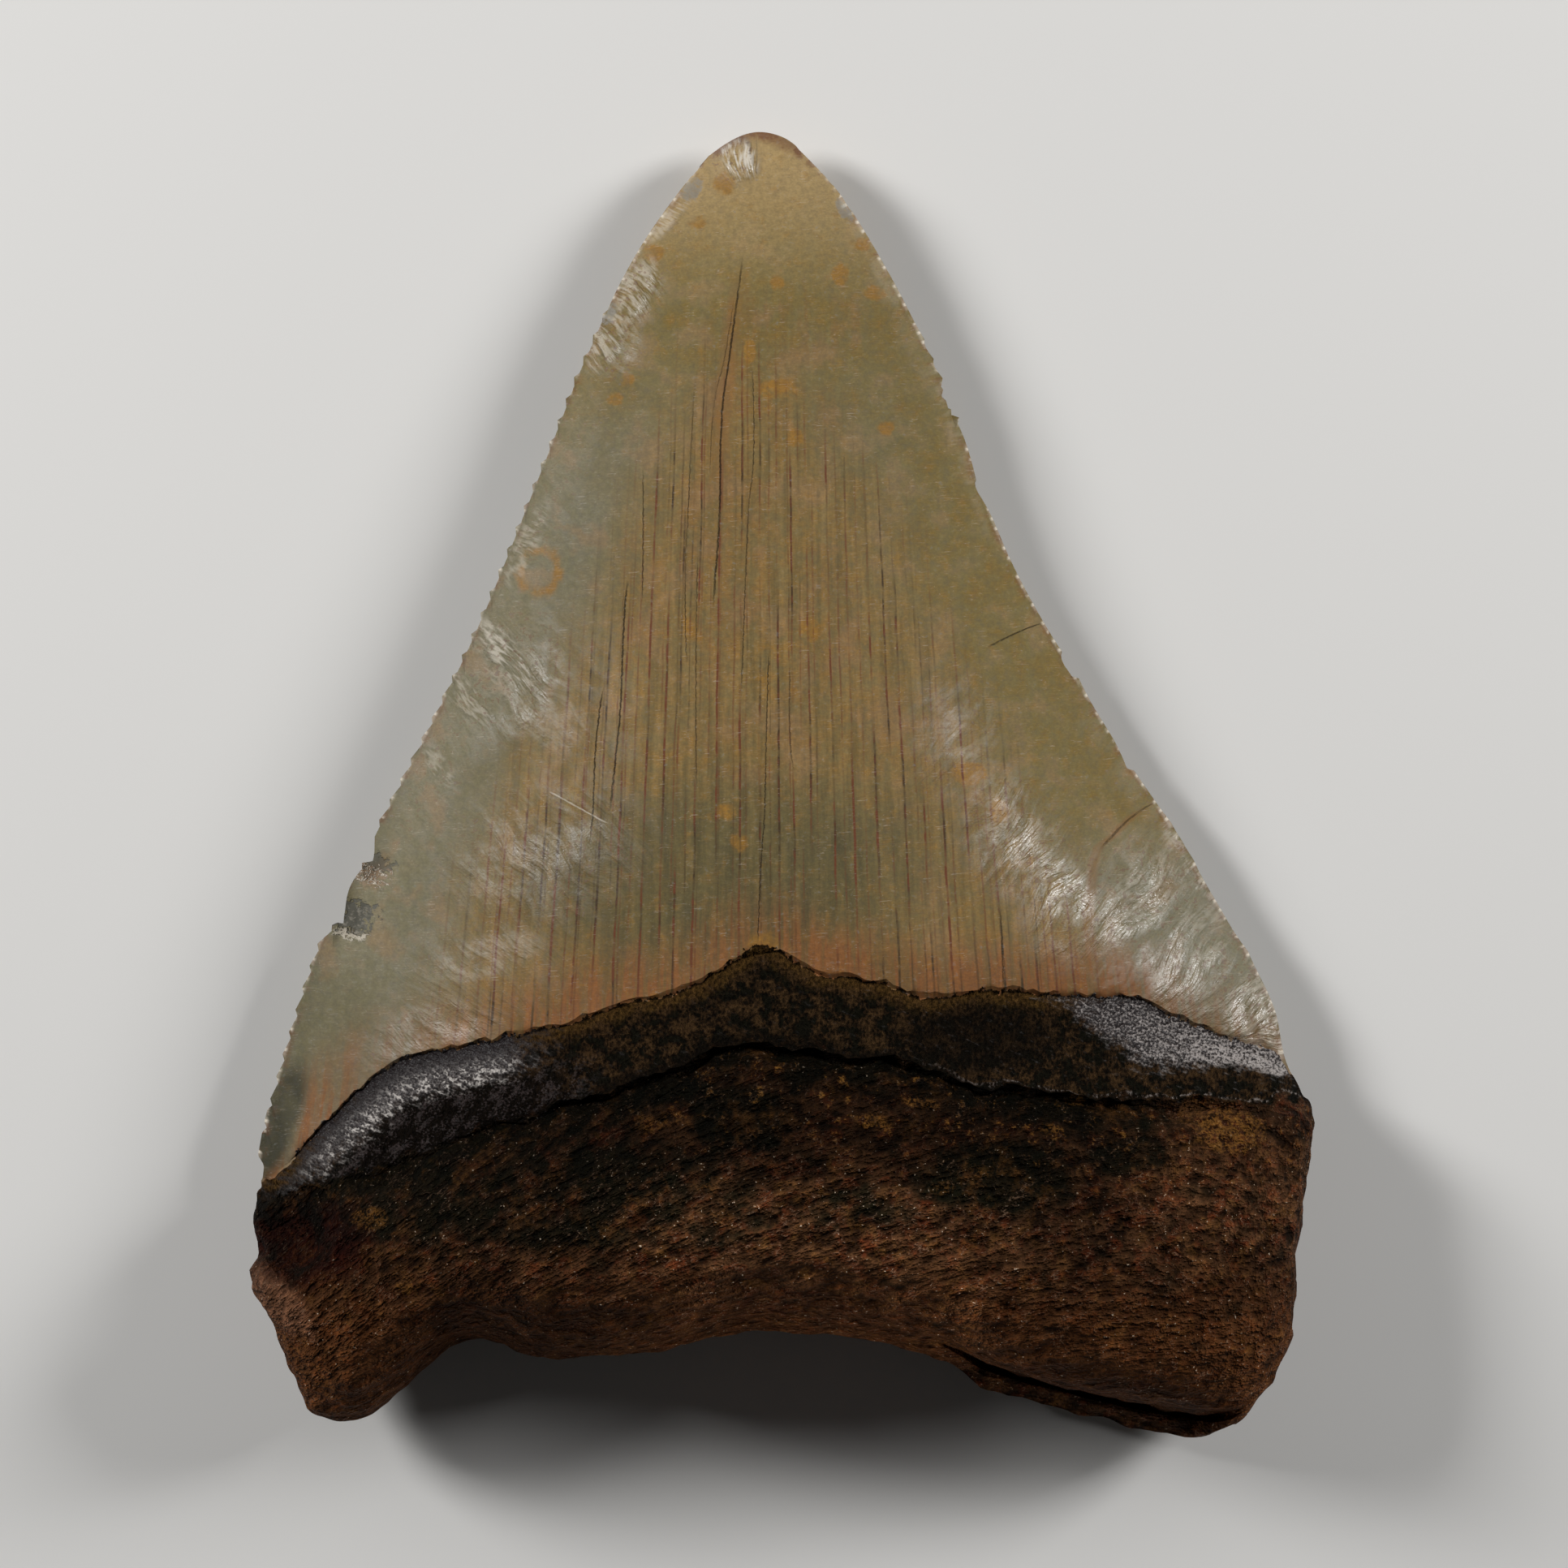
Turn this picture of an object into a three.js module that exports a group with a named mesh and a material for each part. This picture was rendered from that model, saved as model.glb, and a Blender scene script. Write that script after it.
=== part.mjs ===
// A fossil megalodon tooth, one solid, lying on its flat outer (labial) face with the tip towards +Y.
// Lengths are millimetres. +Z is up, out of the bulging inner (lingual) face. The origin is on the
// surface that the tooth rests on, under the middle of its outline.
import * as THREE from "three";
import { mergeGeometries, mergeVertices } from "three/addons/utils/BufferGeometryUtils.js";

const { clamp, lerp, smoothstep } = THREE.MathUtils;
const point = (x, y) => new THREE.Vector2(x, y);

// How finely the faces are divided. Places along the tooth run from 0 at the base of the root, over 1
// at the furrow under the dark band and 2 at the lower edge of the enamel, to 3 at the tip.
const COLUMNS = 42; // on the lingual face
const LABIAL_STEP = 2; // the flatter labial face has every second column
const BAND_ROWS = 4;
const CROWN_ROWS = 48;
const EDGE_CROWDING = 0.6; // crowds the columns towards the sides, less and less towards the tip

// Lengths over the middle of the tooth.
const ROOT_LENGTH = 22; // from the base to the furrow
const CROWN_LENGTH = 60; // from the enamel line to the tip

// Serrations of the cutting edges, about 0.8 mm apart, worn away towards the tip.
const SERRATIONS_PER_ROW = 2;
const SERRATION_DEPTH = 0.26;
const WORN_TIP = 15;

// Low steps and furrows of the surface.
const ENAMEL_LIP = { height: 0.35, run: 0.3 }; // the enamel stands proud of the dark band
const LABIAL_LIP = 0.3; // and of the root on the other face
const BAND_LIP = 0.3; // the dark band stands proud of the root
const GROOVE = { depth: 0.8, bottom: 0.55, width: 1.3, fade: 4 }; // in the root, just below the band

// The flake at the base of the right lobe: a thin shelf with a deep gap between it and the root.
const FLAKE = { from: 0.66, to: 0.975, fade: 0.05, rimDrop: 2.6, dropRun: 6, top: 0.7, round: 1 };
const GAP = { middle: 1.8, halfWidth: 0.45, floor: 3.2 };

// Rows of the root, as distances from its base. They lie closest where the gap and the groove are.
const ROOT_ROWS = [
  0, 0.45, 0.95, GAP.middle - GAP.halfWidth, GAP.middle, GAP.middle + GAP.halfWidth, 3.1, 4.2, 5.4, 6.8,
  8.4, 10.1, 12, 14, 16, 18, 19.6, ROOT_LENGTH - GROOVE.width, ROOT_LENGTH - GROOVE.bottom,
];

// Corners of the outline where the bands meet its sides.
const BASE_LEFT = point(-35.2, -45.8);
const BASE_RIGHT = point(34.2, -46.4);
const FURROW_LEFT = point(-39.1, -29.8);
const FURROW_RIGHT = point(38.3, -23.0);
const ENAMEL_LEFT = point(-39.0, -27.8);
const ENAMEL_RIGHT = point(36.8, -20.0);
const TIP_LEFT = point(-5.6, 46.5);
const TIP_RIGHT = point(1.6, 46.5);

const curve = (from, pairs, to) =>
  new THREE.SplineCurve([from, ...pairs.map(([x, y]) => point(x, y)), to]);

// The base of the root, from the narrow left lobe over the shallow arch to the broad right lobe.
const base = curve(BASE_LEFT, [
  [-34.0, -46.6], [-31.2, -46.8], [-28.6, -45.1], [-25.0, -41.3], [-23.2, -40.5], [-20.8, -41.2],
  [-17.4, -42.3], [-9.0, -41.7], [-3.4, -40.1], [3.8, -40.7], [9.2, -41.4], [11.4, -42.2],
  [14.0, -44.3], [18.2, -45.6], [24.4, -47.2], [29.8, -48.2], [32.2, -47.7],
], BASE_RIGHT);

// The furrow under the dark band, and the lower edge of the enamel with its peak in the middle.
const furrow = curve(FURROW_LEFT, [
  [-36.8, -29.8], [-30.0, -28.0], [-23.4, -25.4], [-14.2, -22.4], [-8.3, -20.6], [-4.9, -18.9],
  [-1.9, -18.4], [4.2, -19.5], [9.4, -20.0], [14.0, -21.5], [22.9, -22.6], [29.0, -23.1], [34.7, -23.0],
], FURROW_RIGHT);
const enamelLine = curve(ENAMEL_LEFT, [
  [-37.6, -28.8], [-34.3, -25.5], [-31.7, -22.9], [-28.5, -20.5], [-25.5, -19.6], [-19.5, -18.4],
  [-14.5, -17.1], [-11.5, -15.9], [-7.3, -15.0], [-3.4, -12.8], [-1.5, -11.7], [2.2, -13.7],
  [6.7, -14.4], [10.6, -15.7], [14.3, -15.1], [21.0, -15.6], [25.6, -15.7], [28.6, -17.2], [32.7, -18.7],
], ENAMEL_RIGHT);
const tip = curve(TIP_LEFT, [[-3.9, 47.7], [-2.0, 48.3], [0.2, 47.8]], TIP_RIGHT);

// The two sides of the outline, from the base up, one curve to each band.
const leftSide = {
  root: curve(BASE_LEFT, [[-36.9, -41.8], [-38.4, -38.1], [-39.3, -36.2], [-39.4, -32.0]], FURROW_LEFT),
  band: curve(FURROW_LEFT, [], ENAMEL_LEFT),
  crown: curve(ENAMEL_LEFT, [
    [-38.2, -24.0], [-36.3, -17.0], [-34.3, -11.2], [-31.7, -6.0], [-28.7, 0.0], [-24.7, 8.0],
    [-21.1, 16.0], [-18.0, 24.0], [-14.8, 32.0], [-11.3, 38.8], [-8.4, 43.2],
  ], TIP_LEFT),
};
const rightSide = {
  root: curve(BASE_RIGHT, [
    [36.3, -43.6], [37.5, -40.4], [38.6, -31.5], [39.4, -26.4], [39.0, -24.2],
  ], FURROW_RIGHT),
  band: curve(FURROW_RIGHT, [], ENAMEL_RIGHT),
  crown: curve(ENAMEL_RIGHT, [
    [36.9, -17.9], [35.4, -14.2], [32.4, -9.1], [28.5, -2.6], [24.5, 3.5], [20.9, 9.4], [17.3, 15.8],
    [14.8, 21.8], [13.1, 26.8], [11.4, 30.8], [9.0, 35.8], [6.5, 40.2], [4.0, 43.9],
  ], TIP_RIGHT),
};
const BANDS = { root: [base, furrow], band: [furrow, enamelLine], crown: [enamelLine, tip] };

// Nicks in the cutting edges: which side, how far up the picture they lie, half their length, and depth.
const NICKS = [
  { side: -1, y: -9.6, reach: 1.8, depth: 0.5 },
  { side: -1, y: -5.4, reach: 1.2, depth: 0.3 },
  { side: 1, y: -19.4, reach: 1.0, depth: 0.4 },
  { side: 1, y: 1.8, reach: 1.0, depth: 0.25 },
  { side: 1, y: 9.0, reach: 1.0, depth: 0.3 },
  { side: 1, y: 22.0, reach: 1.3, depth: 0.35 },
  { side: 1, y: 28.6, reach: 1.4, depth: 0.45 },
];

// Hollows and knobs of the lingual face: centre, radii along X and Y, and depth, or height where negative.
const DENTS = [
  { at: [-36.4, -32.8], radii: [4.2, 4.2], depth: 1.7 }, // broken hollow on the left of the root
  { at: [-36.6, -37.6], radii: [4.2, 2.6], depth: -0.9 }, // ledge under that hollow
  { at: [-20.5, -40.6], radii: [4.5, 3.4], depth: 0.9 },
  { at: [0.5, -31.5], radii: [12.0, 4.5], depth: 0.5 }, // shallow trough over the middle of the root
  { at: [-30.2, -6.2], radii: [2.2, 1.8], depth: 1.1 }, // chips of the left cutting edge
  { at: [-31.4, -9.9], radii: [2.6, 2.0], depth: 1.3 },
];

// Where the labial face touches the surface under it, beside the middle of the crown: two pads on the
// lobes of the root.
const PADS = [
  { at: [-29.5, -37.0], radii: [7.0, 6.5], depth: 2.8 },
  { at: [28.0, -37.5], radii: [8.5, 7.0], depth: 2.8 },
];

// A smooth curve through [place, value] pairs.
function profile(pairs) {
  const slope = (i) => {
    const before = pairs[Math.max(i - 1, 0)];
    const after = pairs[Math.min(i + 1, pairs.length - 1)];
    return (after[1] - before[1]) / (after[0] - before[0]);
  };
  return (place) => {
    let i = 0;
    while (i < pairs.length - 2 && place > pairs[i + 1][0]) i++;
    const [from, start] = pairs[i];
    const [to, end] = pairs[i + 1];
    const run = to - from;
    const t = clamp((place - from) / run, 0, 1);
    const u = 1 - t;
    const bend = run * t * u * (u * slope(i) - t * slope(i + 1));
    return start * u * u * (1 + 2 * t) + end * t * t * (3 - 2 * t) + bend;
  };
}

// Heights along the middle of each face and along the outline.
const lingualCrest = profile([
  [0, 17.0], [0.25, 20.2], [0.55, 21.6], [0.85, 20.6], [1, 19.6], [1.5, 18.0], [2, 16.2], [2.15, 15.4],
  [2.4, 13.0], [2.6, 10.6], [2.8, 7.9], [2.93, 6.1], [3, 5.2],
]);
const labialCrest = profile([
  [0, 1.8], [0.3, 1.0], [0.7, 1.2], [1.2, 1.4], [1.7, 1.2], [2.1, 0.75], [2.4, 0.24], [2.65, 0.6],
  [2.85, 1.4], [3, 2.4],
]);
const sideHeight = profile([
  [0, 7.0], [0.5, 6.6], [1, 5.4], [2, 4.2], [2.2, 3.2], [2.5, 2.4], [2.8, 2.8], [3, 3.6],
]);

// How each section is shaped: a share of a slab that turns over late, and a bulge for the rest.
const SLAB_POWER = 9;
const slabShare = profile([[0, 0.62], [0.5, 0.5], [1, 0.4], [1.6, 0.16], [2, 0.06], [2.2, 0.02], [3, 0]]);
const labialSlabShare = profile([[0, 0.95], [0.6, 0.88], [1.2, 0.66], [1.8, 0.3], [2.2, 0.08], [3, 0]]);
const bulgePower = profile([
  [0, 1.1], [1, 1.25], [1.7, 1.5], [2, 1.6], [2.25, 1.4], [2.5, 1.1], [2.75, 0.95], [3, 0.85],
]);
const LABIAL_BULGE_POWER = 1.1;
const LEAST_RISE = 0.4; // what the lingual face rises above the outline at least
const RIM_RAMP = 4; // how steeply the least rise and the lips start at the outline

// The turn of the faces at the base of the root and at the tip.
const LINGUAL_TURN = 8;
const LABIAL_TURN = 4.5;
const TIP_TURN = 4;

// How far a place lies inside a round spot: 1 in its middle, falling smoothly to 0 at its rim.
function spot({ at, radii }, x, y) {
  const r = Math.hypot((x - at[0]) / radii[0], (y - at[1]) / radii[1]);
  return r < 1 ? (1 - r * r) ** 2 : 0;
}

// The sum of all spots of a list at a place.
const spots = (list, x, y) => list.reduce((sum, each) => sum + each.depth * spot(each, x, y), 0);

// A quarter turn: 0 at the edge, 1 from the given distance inwards.
const turn = (distance, radius) => Math.sqrt(1 - (1 - Math.min(distance / radius, 1)) ** 2);

// The share of the full height that is left where the faces turn over the base and the tip.
const endTurn = (place, radius) =>
  turn(place * ROOT_LENGTH, radius) * turn((3 - place) * CROWN_LENGTH, TIP_TURN);

// How much of the flake there is at s, from -1 on the left side of the tooth to 1 on its right side.
function flakeShare(s) {
  const u = (s + 1) / 2;
  const start = smoothstep(u, FLAKE.from, FLAKE.from + FLAKE.fade);
  return start * (1 - smoothstep(u, FLAKE.to - FLAKE.fade, FLAKE.to));
}

// The height of the outline, or of the level halfway through the tooth, at a place.
const rimHeight = (s, place) =>
  sideHeight(place) - FLAKE.rimDrop * flakeShare(s) * (1 - smoothstep(place * ROOT_LENGTH, 0, FLAKE.dropRun));

// A section's share of its full height at s.
function section(s, power, slabPart) {
  const slab = Math.sqrt(1 - Math.abs(s) ** SLAB_POWER);
  return lerp((1 - s * s) ** power, slab, slabPart);
}

// The groove of the root below the dark band, fading out at the sides.
function grooveDepth(s, place) {
  const below = (1 - place) * ROOT_LENGTH;
  const wall = clamp(below / GROOVE.bottom, 0, 1);
  const slope = clamp((GROOVE.width - below) / (GROOVE.width - GROOVE.bottom), 0, 1);
  return GROOVE.depth * wall * slope * (1 - s ** GROOVE.fade);
}

// The height of the lingual face where the flake takes the place of the root's rounded base.
function withFlake(full, s, place) {
  const fromBase = place * ROOT_LENGTH;
  const rootWall = clamp((fromBase - GAP.middle) / GAP.halfWidth, 0, 1);
  const flakeWall = clamp((GAP.middle - fromBase) / GAP.halfWidth, 0, 1);
  const shelf = rimHeight(s, place) + FLAKE.top * Math.min(fromBase / FLAKE.round, 1);
  const split = lerp(lerp(GAP.floor, shelf, flakeWall), full, rootWall);
  return lerp(full, split, flakeShare(s));
}

// Height of the lingual face.
function lingualHeight(s, place, x, y) {
  const rim = rimHeight(s, place);
  const rise = (lingualCrest(place) - rim) * section(s, bulgePower(place), slabShare(place));
  const nearRim = Math.min(RIM_RAMP * (1 - s * s), 1);
  const bandLip = place >= 1 ? BAND_LIP * nearRim : 0;
  const enamelLip = place > 2 ? ENAMEL_LIP.height * nearRim : 0;
  const carved = rise + bandLip + enamelLip - grooveDepth(s, place) - spots(DENTS, x, y);
  const full = rim + Math.max(endTurn(place, LINGUAL_TURN) * carved, LEAST_RISE * nearRim);
  return withFlake(full, s, place);
}

// Height of the labial face. It is flat where it would reach below the surface that it rests on.
function labialHeight(s, place, x, y) {
  const rim = rimHeight(s, place);
  const fall = rim - labialCrest(place) + (place >= 1 ? LABIAL_LIP : 0);
  const carved = fall * section(s, LABIAL_BULGE_POWER, labialSlabShare(place)) + spots(PADS, x, y);
  return Math.max(rim - endTurn(place, LABIAL_TURN) * carved, 0);
}

// The rows from the base to the tip, each with its band, its share t of that band, and its place.
function layRows() {
  const row = (band, number, t) => ({ band, t, place: number + t });
  const steps = (count, first) => Array.from({ length: count }, (_, i) => i + first);
  return [
    ...ROOT_ROWS.map((distance) => row("root", 0, distance / ROOT_LENGTH)),
    ...steps(BAND_ROWS, 0).map((i) => row("band", 1, i / BAND_ROWS)),
    row("crown", 2, 0),
    row("crown", 2, ENAMEL_LIP.run / CROWN_LENGTH),
    ...steps(CROWN_ROWS, 1).map((i) => row("crown", 2, i / CROWN_ROWS)),
  ];
}

// A point of the sheet between the four curves round a band: s across, t up from the lower curve.
function sheetPoint(band, s, t) {
  const [lower, upper] = BANDS[band];
  const u = (s + 1) / 2;
  const mix = (from, to, share) => from.clone().lerp(to, share);
  const rails = mix(leftSide[band].getPointAt(t), rightSide[band].getPointAt(t), u);
  const rungs = mix(lower.getPointAt(u), upper.getPointAt(u), t);
  const foot = mix(lower.getPoint(0), lower.getPoint(1), u);
  const head = mix(upper.getPoint(0), upper.getPoint(1), u);
  return rails.add(rungs).sub(mix(foot, head, t));
}

// A point of a cutting edge with its nicks, on the outline or set in by part of a serration's depth.
function edgePoint(side, t, notch) {
  const edge = (side < 0 ? leftSide : rightSide).crown;
  const at = edge.getPointAt(t);
  const along = edge.getTangentAt(t);
  const wear = smoothstep((1 - t) * CROWN_LENGTH, 0, WORN_TIP);
  const nicks = NICKS.filter((nick) => nick.side === side).map((nick) => {
    const away = (at.y - nick.y) / nick.reach;
    return Math.abs(away) < 1 ? nick.depth * (1 - away * away) : 0;
  });
  const inward = nicks.reduce((sum, depth) => sum + depth, wear * SERRATION_DEPTH * notch);
  return at.add(point(-side * along.y, side * along.x).multiplyScalar(inward));
}

// The points of a row across one face, each [x, y, z].
function rowPoints(row, height) {
  return Array.from({ length: COLUMNS + 1 }, (_, i) => {
    const even = (2 * i) / COLUMNS - 1;
    const crowding = EDGE_CROWDING * (1 - row.place / 3);
    const s = lerp(even, Math.sin((Math.PI / 2) * even), crowding);
    const onSide = i === 0 || i === COLUMNS;
    const onCuttingEdge = onSide && row.place > 2 && row.place < 3;
    const flat = onCuttingEdge ? edgePoint(Math.sign(s), row.t, 1) : sheetPoint(row.band, s, row.t);
    const onOutline = onSide || row.place === 0 || row.place === 3;
    const z = onOutline ? rimHeight(s, row.place) : height(s, row.place, flat.x, flat.y);
    return [flat.x, flat.y, z];
  });
}

// The serrations on one side between two rows of the crown, from the lower row up.
function serrations(side, from, to) {
  if (from.place <= 2 || from.t < 1 / CROWN_ROWS) return [];
  const halves = SERRATIONS_PER_ROW * 2;
  return Array.from({ length: halves - 1 }, (_, k) => {
    const t = lerp(from.t, to.t, (k + 1) / halves);
    return [...edgePoint(side, t, k % 2).toArray(), rimHeight(side, 2 + t)];
  });
}

// One face of the tooth as triangles. Each cell of rows and columns is a fan from one of its corners,
// which also takes in the points that the cell shares with the serrations or the other face.
function face(height, upwards, columnStep) {
  const rows = layRows();
  const grid = rows.map((row) => rowPoints(row, height));
  const corners = [];
  const side = (j, i, whole) => grid[j].slice(i, i + columnStep + 1).filter(
    (_, k) => whole || k % columnStep === 0,
  );
  for (let j = 0; j + 1 < rows.length; j++) {
    for (let i = 0; i < COLUMNS; i += columnStep) {
      const lower = side(j, i, j === 0);
      const upper = side(j + 1, i, j + 2 === rows.length).reverse();
      const right = i + columnStep === COLUMNS ? serrations(1, rows[j], rows[j + 1]) : [];
      const left = i === 0 ? serrations(-1, rows[j], rows[j + 1]).reverse() : [];
      const ring = [...lower, ...right, ...upper, ...left];
      const onLeft = i < COLUMNS / 2;
      const above = lower.length + right.length;
      const start = j === 0 ? above + (onLeft ? upper.length - 1 : 0) : (onLeft ? lower.length - 1 : 0);
      const fan = [...ring.slice(start), ...ring.slice(0, start)];
      for (let k = 1; k + 1 < fan.length; k++) {
        corners.push(...fan[0], ...(upwards ? [fan[k], fan[k + 1]] : [fan[k + 1], fan[k]]).flat());
      }
    }
  }
  const geometry = new THREE.BufferGeometry();
  geometry.setAttribute("position", new THREE.Float32BufferAttribute(corners, 3));
  return geometry;
}

// The whole tooth, its two faces joined along the outline, centred over the origin.
function toothGeometry() {
  const faces = [face(lingualHeight, true, 1), face(labialHeight, false, LABIAL_STEP)];
  const geometry = mergeVertices(mergeGeometries(faces), 1e-4);
  geometry.computeBoundingBox();
  const { min, max } = geometry.boundingBox;
  geometry.translate(-(min.x + max.x) / 2, -(min.y + max.y) / 2, 0);
  geometry.computeVertexNormals();
  return geometry;
}

const fossil = new THREE.MeshStandardMaterial({ color: 0x857558, roughness: 0.45, metalness: 0 });
const tooth = new THREE.Mesh(toothGeometry(), fossil);
tooth.name = "tooth";

const part = new THREE.Group();
part.add(tooth);

export default part;
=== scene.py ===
"""The fossil megalodon tooth as it looks: worn tan enamel, a dark band and a rough brown root.

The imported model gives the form. A finer mesh takes its place, with the relief that the solid is too coarse
for, and three finishes meet on it, along the edge of the enamel and along the furrow under the band.
"""

import logging
import math
from dataclasses import dataclass, field
from enum import Enum

import bpy
import numpy as np
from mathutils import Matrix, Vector, noise


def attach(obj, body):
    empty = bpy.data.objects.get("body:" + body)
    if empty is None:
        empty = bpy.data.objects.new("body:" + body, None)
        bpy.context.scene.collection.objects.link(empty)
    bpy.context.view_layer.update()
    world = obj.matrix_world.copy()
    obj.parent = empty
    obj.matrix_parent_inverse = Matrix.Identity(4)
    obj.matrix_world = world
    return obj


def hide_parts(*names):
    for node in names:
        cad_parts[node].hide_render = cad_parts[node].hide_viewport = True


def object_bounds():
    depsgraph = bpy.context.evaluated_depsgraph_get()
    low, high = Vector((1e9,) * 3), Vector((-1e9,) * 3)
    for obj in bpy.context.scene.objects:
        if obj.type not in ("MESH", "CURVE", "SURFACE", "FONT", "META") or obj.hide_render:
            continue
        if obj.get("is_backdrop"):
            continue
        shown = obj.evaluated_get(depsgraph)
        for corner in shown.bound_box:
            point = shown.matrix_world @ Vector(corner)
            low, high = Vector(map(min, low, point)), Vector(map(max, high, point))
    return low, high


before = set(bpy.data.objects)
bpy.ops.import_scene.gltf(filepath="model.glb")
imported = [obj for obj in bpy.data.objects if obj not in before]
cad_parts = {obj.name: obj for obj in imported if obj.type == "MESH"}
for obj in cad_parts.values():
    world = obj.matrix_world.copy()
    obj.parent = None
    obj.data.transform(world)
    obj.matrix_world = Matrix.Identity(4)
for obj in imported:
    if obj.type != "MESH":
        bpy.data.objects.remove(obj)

LOG = logging.getLogger("tooth")
MM = 0.001  # the frame is in metres, and the sizes below are millimetres

Place = tuple[float, float]
Colour = tuple[float, float, float]


def ramp(values: np.ndarray, start: float, end: float) -> np.ndarray:
    """Rises smoothly from 0 at start to 1 at end, or falls where start is the larger one."""
    share = np.clip((values - start) / (end - start), 0.0, 1.0)
    return share * share * (3.0 - 2.0 * share)


def read(table: tuple[Place, ...], at: np.ndarray) -> np.ndarray:
    """Reads a table of pairs at some places, and goes straight from each pair to the next."""
    return np.interp(at, *zip(*table))


@dataclass(frozen=True)
class Line:
    """A smooth line through a few places on the tooth, seen from above, in millimetres."""

    places: tuple[Place, ...]
    per_span: int = 24
    batch: int = 4000

    def samples(self) -> np.ndarray:
        """Returns places close together along the line, one to a row."""
        knots = np.array([self.places[0], *self.places, self.places[-1]])
        rows = []
        for i in range(len(self.places) - 1):
            before, start, end, after = knots[i:i + 4]
            for t in np.linspace(0.0, 1.0, self.per_span, endpoint=False):
                out, back = (end - before) / 2.0, (after - start) / 2.0
                bend = (2.0 * start - 2.0 * end + out + back) * t ** 3
                rows.append(bend + (3.0 * (end - start) - 2.0 * out - back) * t ** 2 + out * t + start)
        return np.array([*rows, knots[-1]])

    def measure(self, places: np.ndarray) -> tuple[np.ndarray, np.ndarray]:
        """Measures how places lie to the line.

        Args:
            places: the places, one to a row.

        Returns:
            The distances from the line, positive on the left of the line as it runs, and how far along the
            line each place lies.
        """
        line = self.samples()
        along = np.gradient(line, axis=0)
        along /= np.linalg.norm(along, axis=1, keepdims=True)
        steps = np.linalg.norm(np.diff(line, axis=0), axis=1)
        lengths = np.concatenate(((0.0,), np.cumsum(steps)))
        distances, positions = np.empty(len(places)), np.empty(len(places))
        for first in range(0, len(places), self.batch):
            last = first + self.batch
            part = places[first:last]
            away = part[:, None, :] - line[None, :, :]
            nearest = np.einsum("ijk,ijk->ij", away, away).argmin(axis=1)
            step = part - line[nearest]
            tangent = along[nearest]
            side = tangent[:, 0] * step[:, 1] - tangent[:, 1] * step[:, 0]
            inner = (nearest > 0) & (nearest < len(line) - 1)
            whole = np.linalg.norm(step, axis=1) * np.where(side < 0.0, -1.0, 1.0)
            distances[first:last] = np.where(inner, side, whole)
            positions[first:last] = lengths[nearest] + np.einsum("ij,ij->i", tangent, step)
        return distances, positions

    def distance(self, places: np.ndarray) -> np.ndarray:
        """Returns how far places lie from the line, positive on the left of the line as it runs."""
        return self.measure(places)[0]


# The lower edge of the enamel, the furrow under the dark band, and the two cutting edges.
ENAMEL_LINE = Line((
    (-39.0, -27.8), (-37.6, -28.8), (-34.3, -25.5), (-31.7, -22.9), (-28.5, -20.5), (-25.5, -19.6),
    (-19.5, -18.4), (-14.5, -17.1), (-11.5, -15.9), (-7.3, -15.0), (-3.4, -12.8), (-1.5, -11.7),
    (2.2, -13.7), (6.7, -14.4), (10.6, -15.7), (14.3, -15.1), (21.0, -15.6), (25.6, -15.7),
    (28.6, -17.2), (32.7, -18.7), (36.8, -20.0),
))
FURROW = Line((
    (-39.1, -29.8), (-36.8, -29.8), (-30.0, -28.0), (-23.4, -25.4), (-14.2, -22.4), (-8.3, -20.6),
    (-4.9, -18.9), (-1.9, -18.4), (4.2, -19.5), (9.4, -20.0), (14.0, -21.5), (22.9, -22.6),
    (29.0, -23.1), (34.7, -23.0), (38.3, -23.0),
))
LEFT_EDGE = Line((
    (-39.0, -27.8), (-38.2, -24.0), (-36.3, -17.0), (-34.3, -11.2), (-31.7, -6.0), (-28.7, 0.0),
    (-24.7, 8.0), (-21.1, 16.0), (-18.0, 24.0), (-14.8, 32.0), (-11.3, 38.8), (-8.4, 43.2),
    (-5.6, 46.5), (-2.0, 48.3),
))
RIGHT_EDGE = Line((
    (-2.0, 48.3), (1.6, 46.5), (4.0, 43.9), (6.5, 40.2), (9.0, 35.8), (11.4, 30.8), (13.1, 26.8),
    (14.8, 21.8), (17.3, 15.8), (20.9, 9.4), (24.5, 3.5), (28.5, -2.6), (32.4, -9.1), (35.4, -14.2),
    (36.9, -17.9), (36.8, -20.0),
))

# Height of the outline over the floor, from the base of the root to the tip, as (y, height).
RIM_HEIGHTS = (
    (-48.0, 7.0), (-36.0, 6.6), (-24.0, 5.4), (-19.0, 4.2), (-6.0, 3.2), (12.0, 2.4), (32.0, 2.8),
    (48.0, 3.6),
)


def grain(points: np.ndarray, size: float | tuple[float, float, float], seed: float, octaves: int = 1,
          turn: float = 0.0) -> np.ndarray:
    """Gives smooth random values from about -1 to 1 at points.

    Args:
        points: the points in millimetres, one to a row.
        size: the size of the lumps in millimetres, or one size for each axis.
        seed: shifts the pattern, so that no two are alike.
        octaves: how many times finer lumps are added.
        turn: the angle in degrees by which the pattern is turned about Z.

    Returns:
        One value for each point.
    """
    angle = math.radians(turn)
    cos, sin = math.cos(angle), math.sin(angle)
    turned = np.column_stack((
        points[:, 0] * cos + points[:, 1] * sin, points[:, 1] * cos - points[:, 0] * sin, points[:, 2],
    ))
    at = turned / np.array(size) + seed * 17.31
    if octaves == 1:
        return np.array([noise.noise(row) for row in at.tolist()])
    return np.array([noise.fractal(row, 1.0, 2.0, octaves) for row in at.tolist()])


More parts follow.
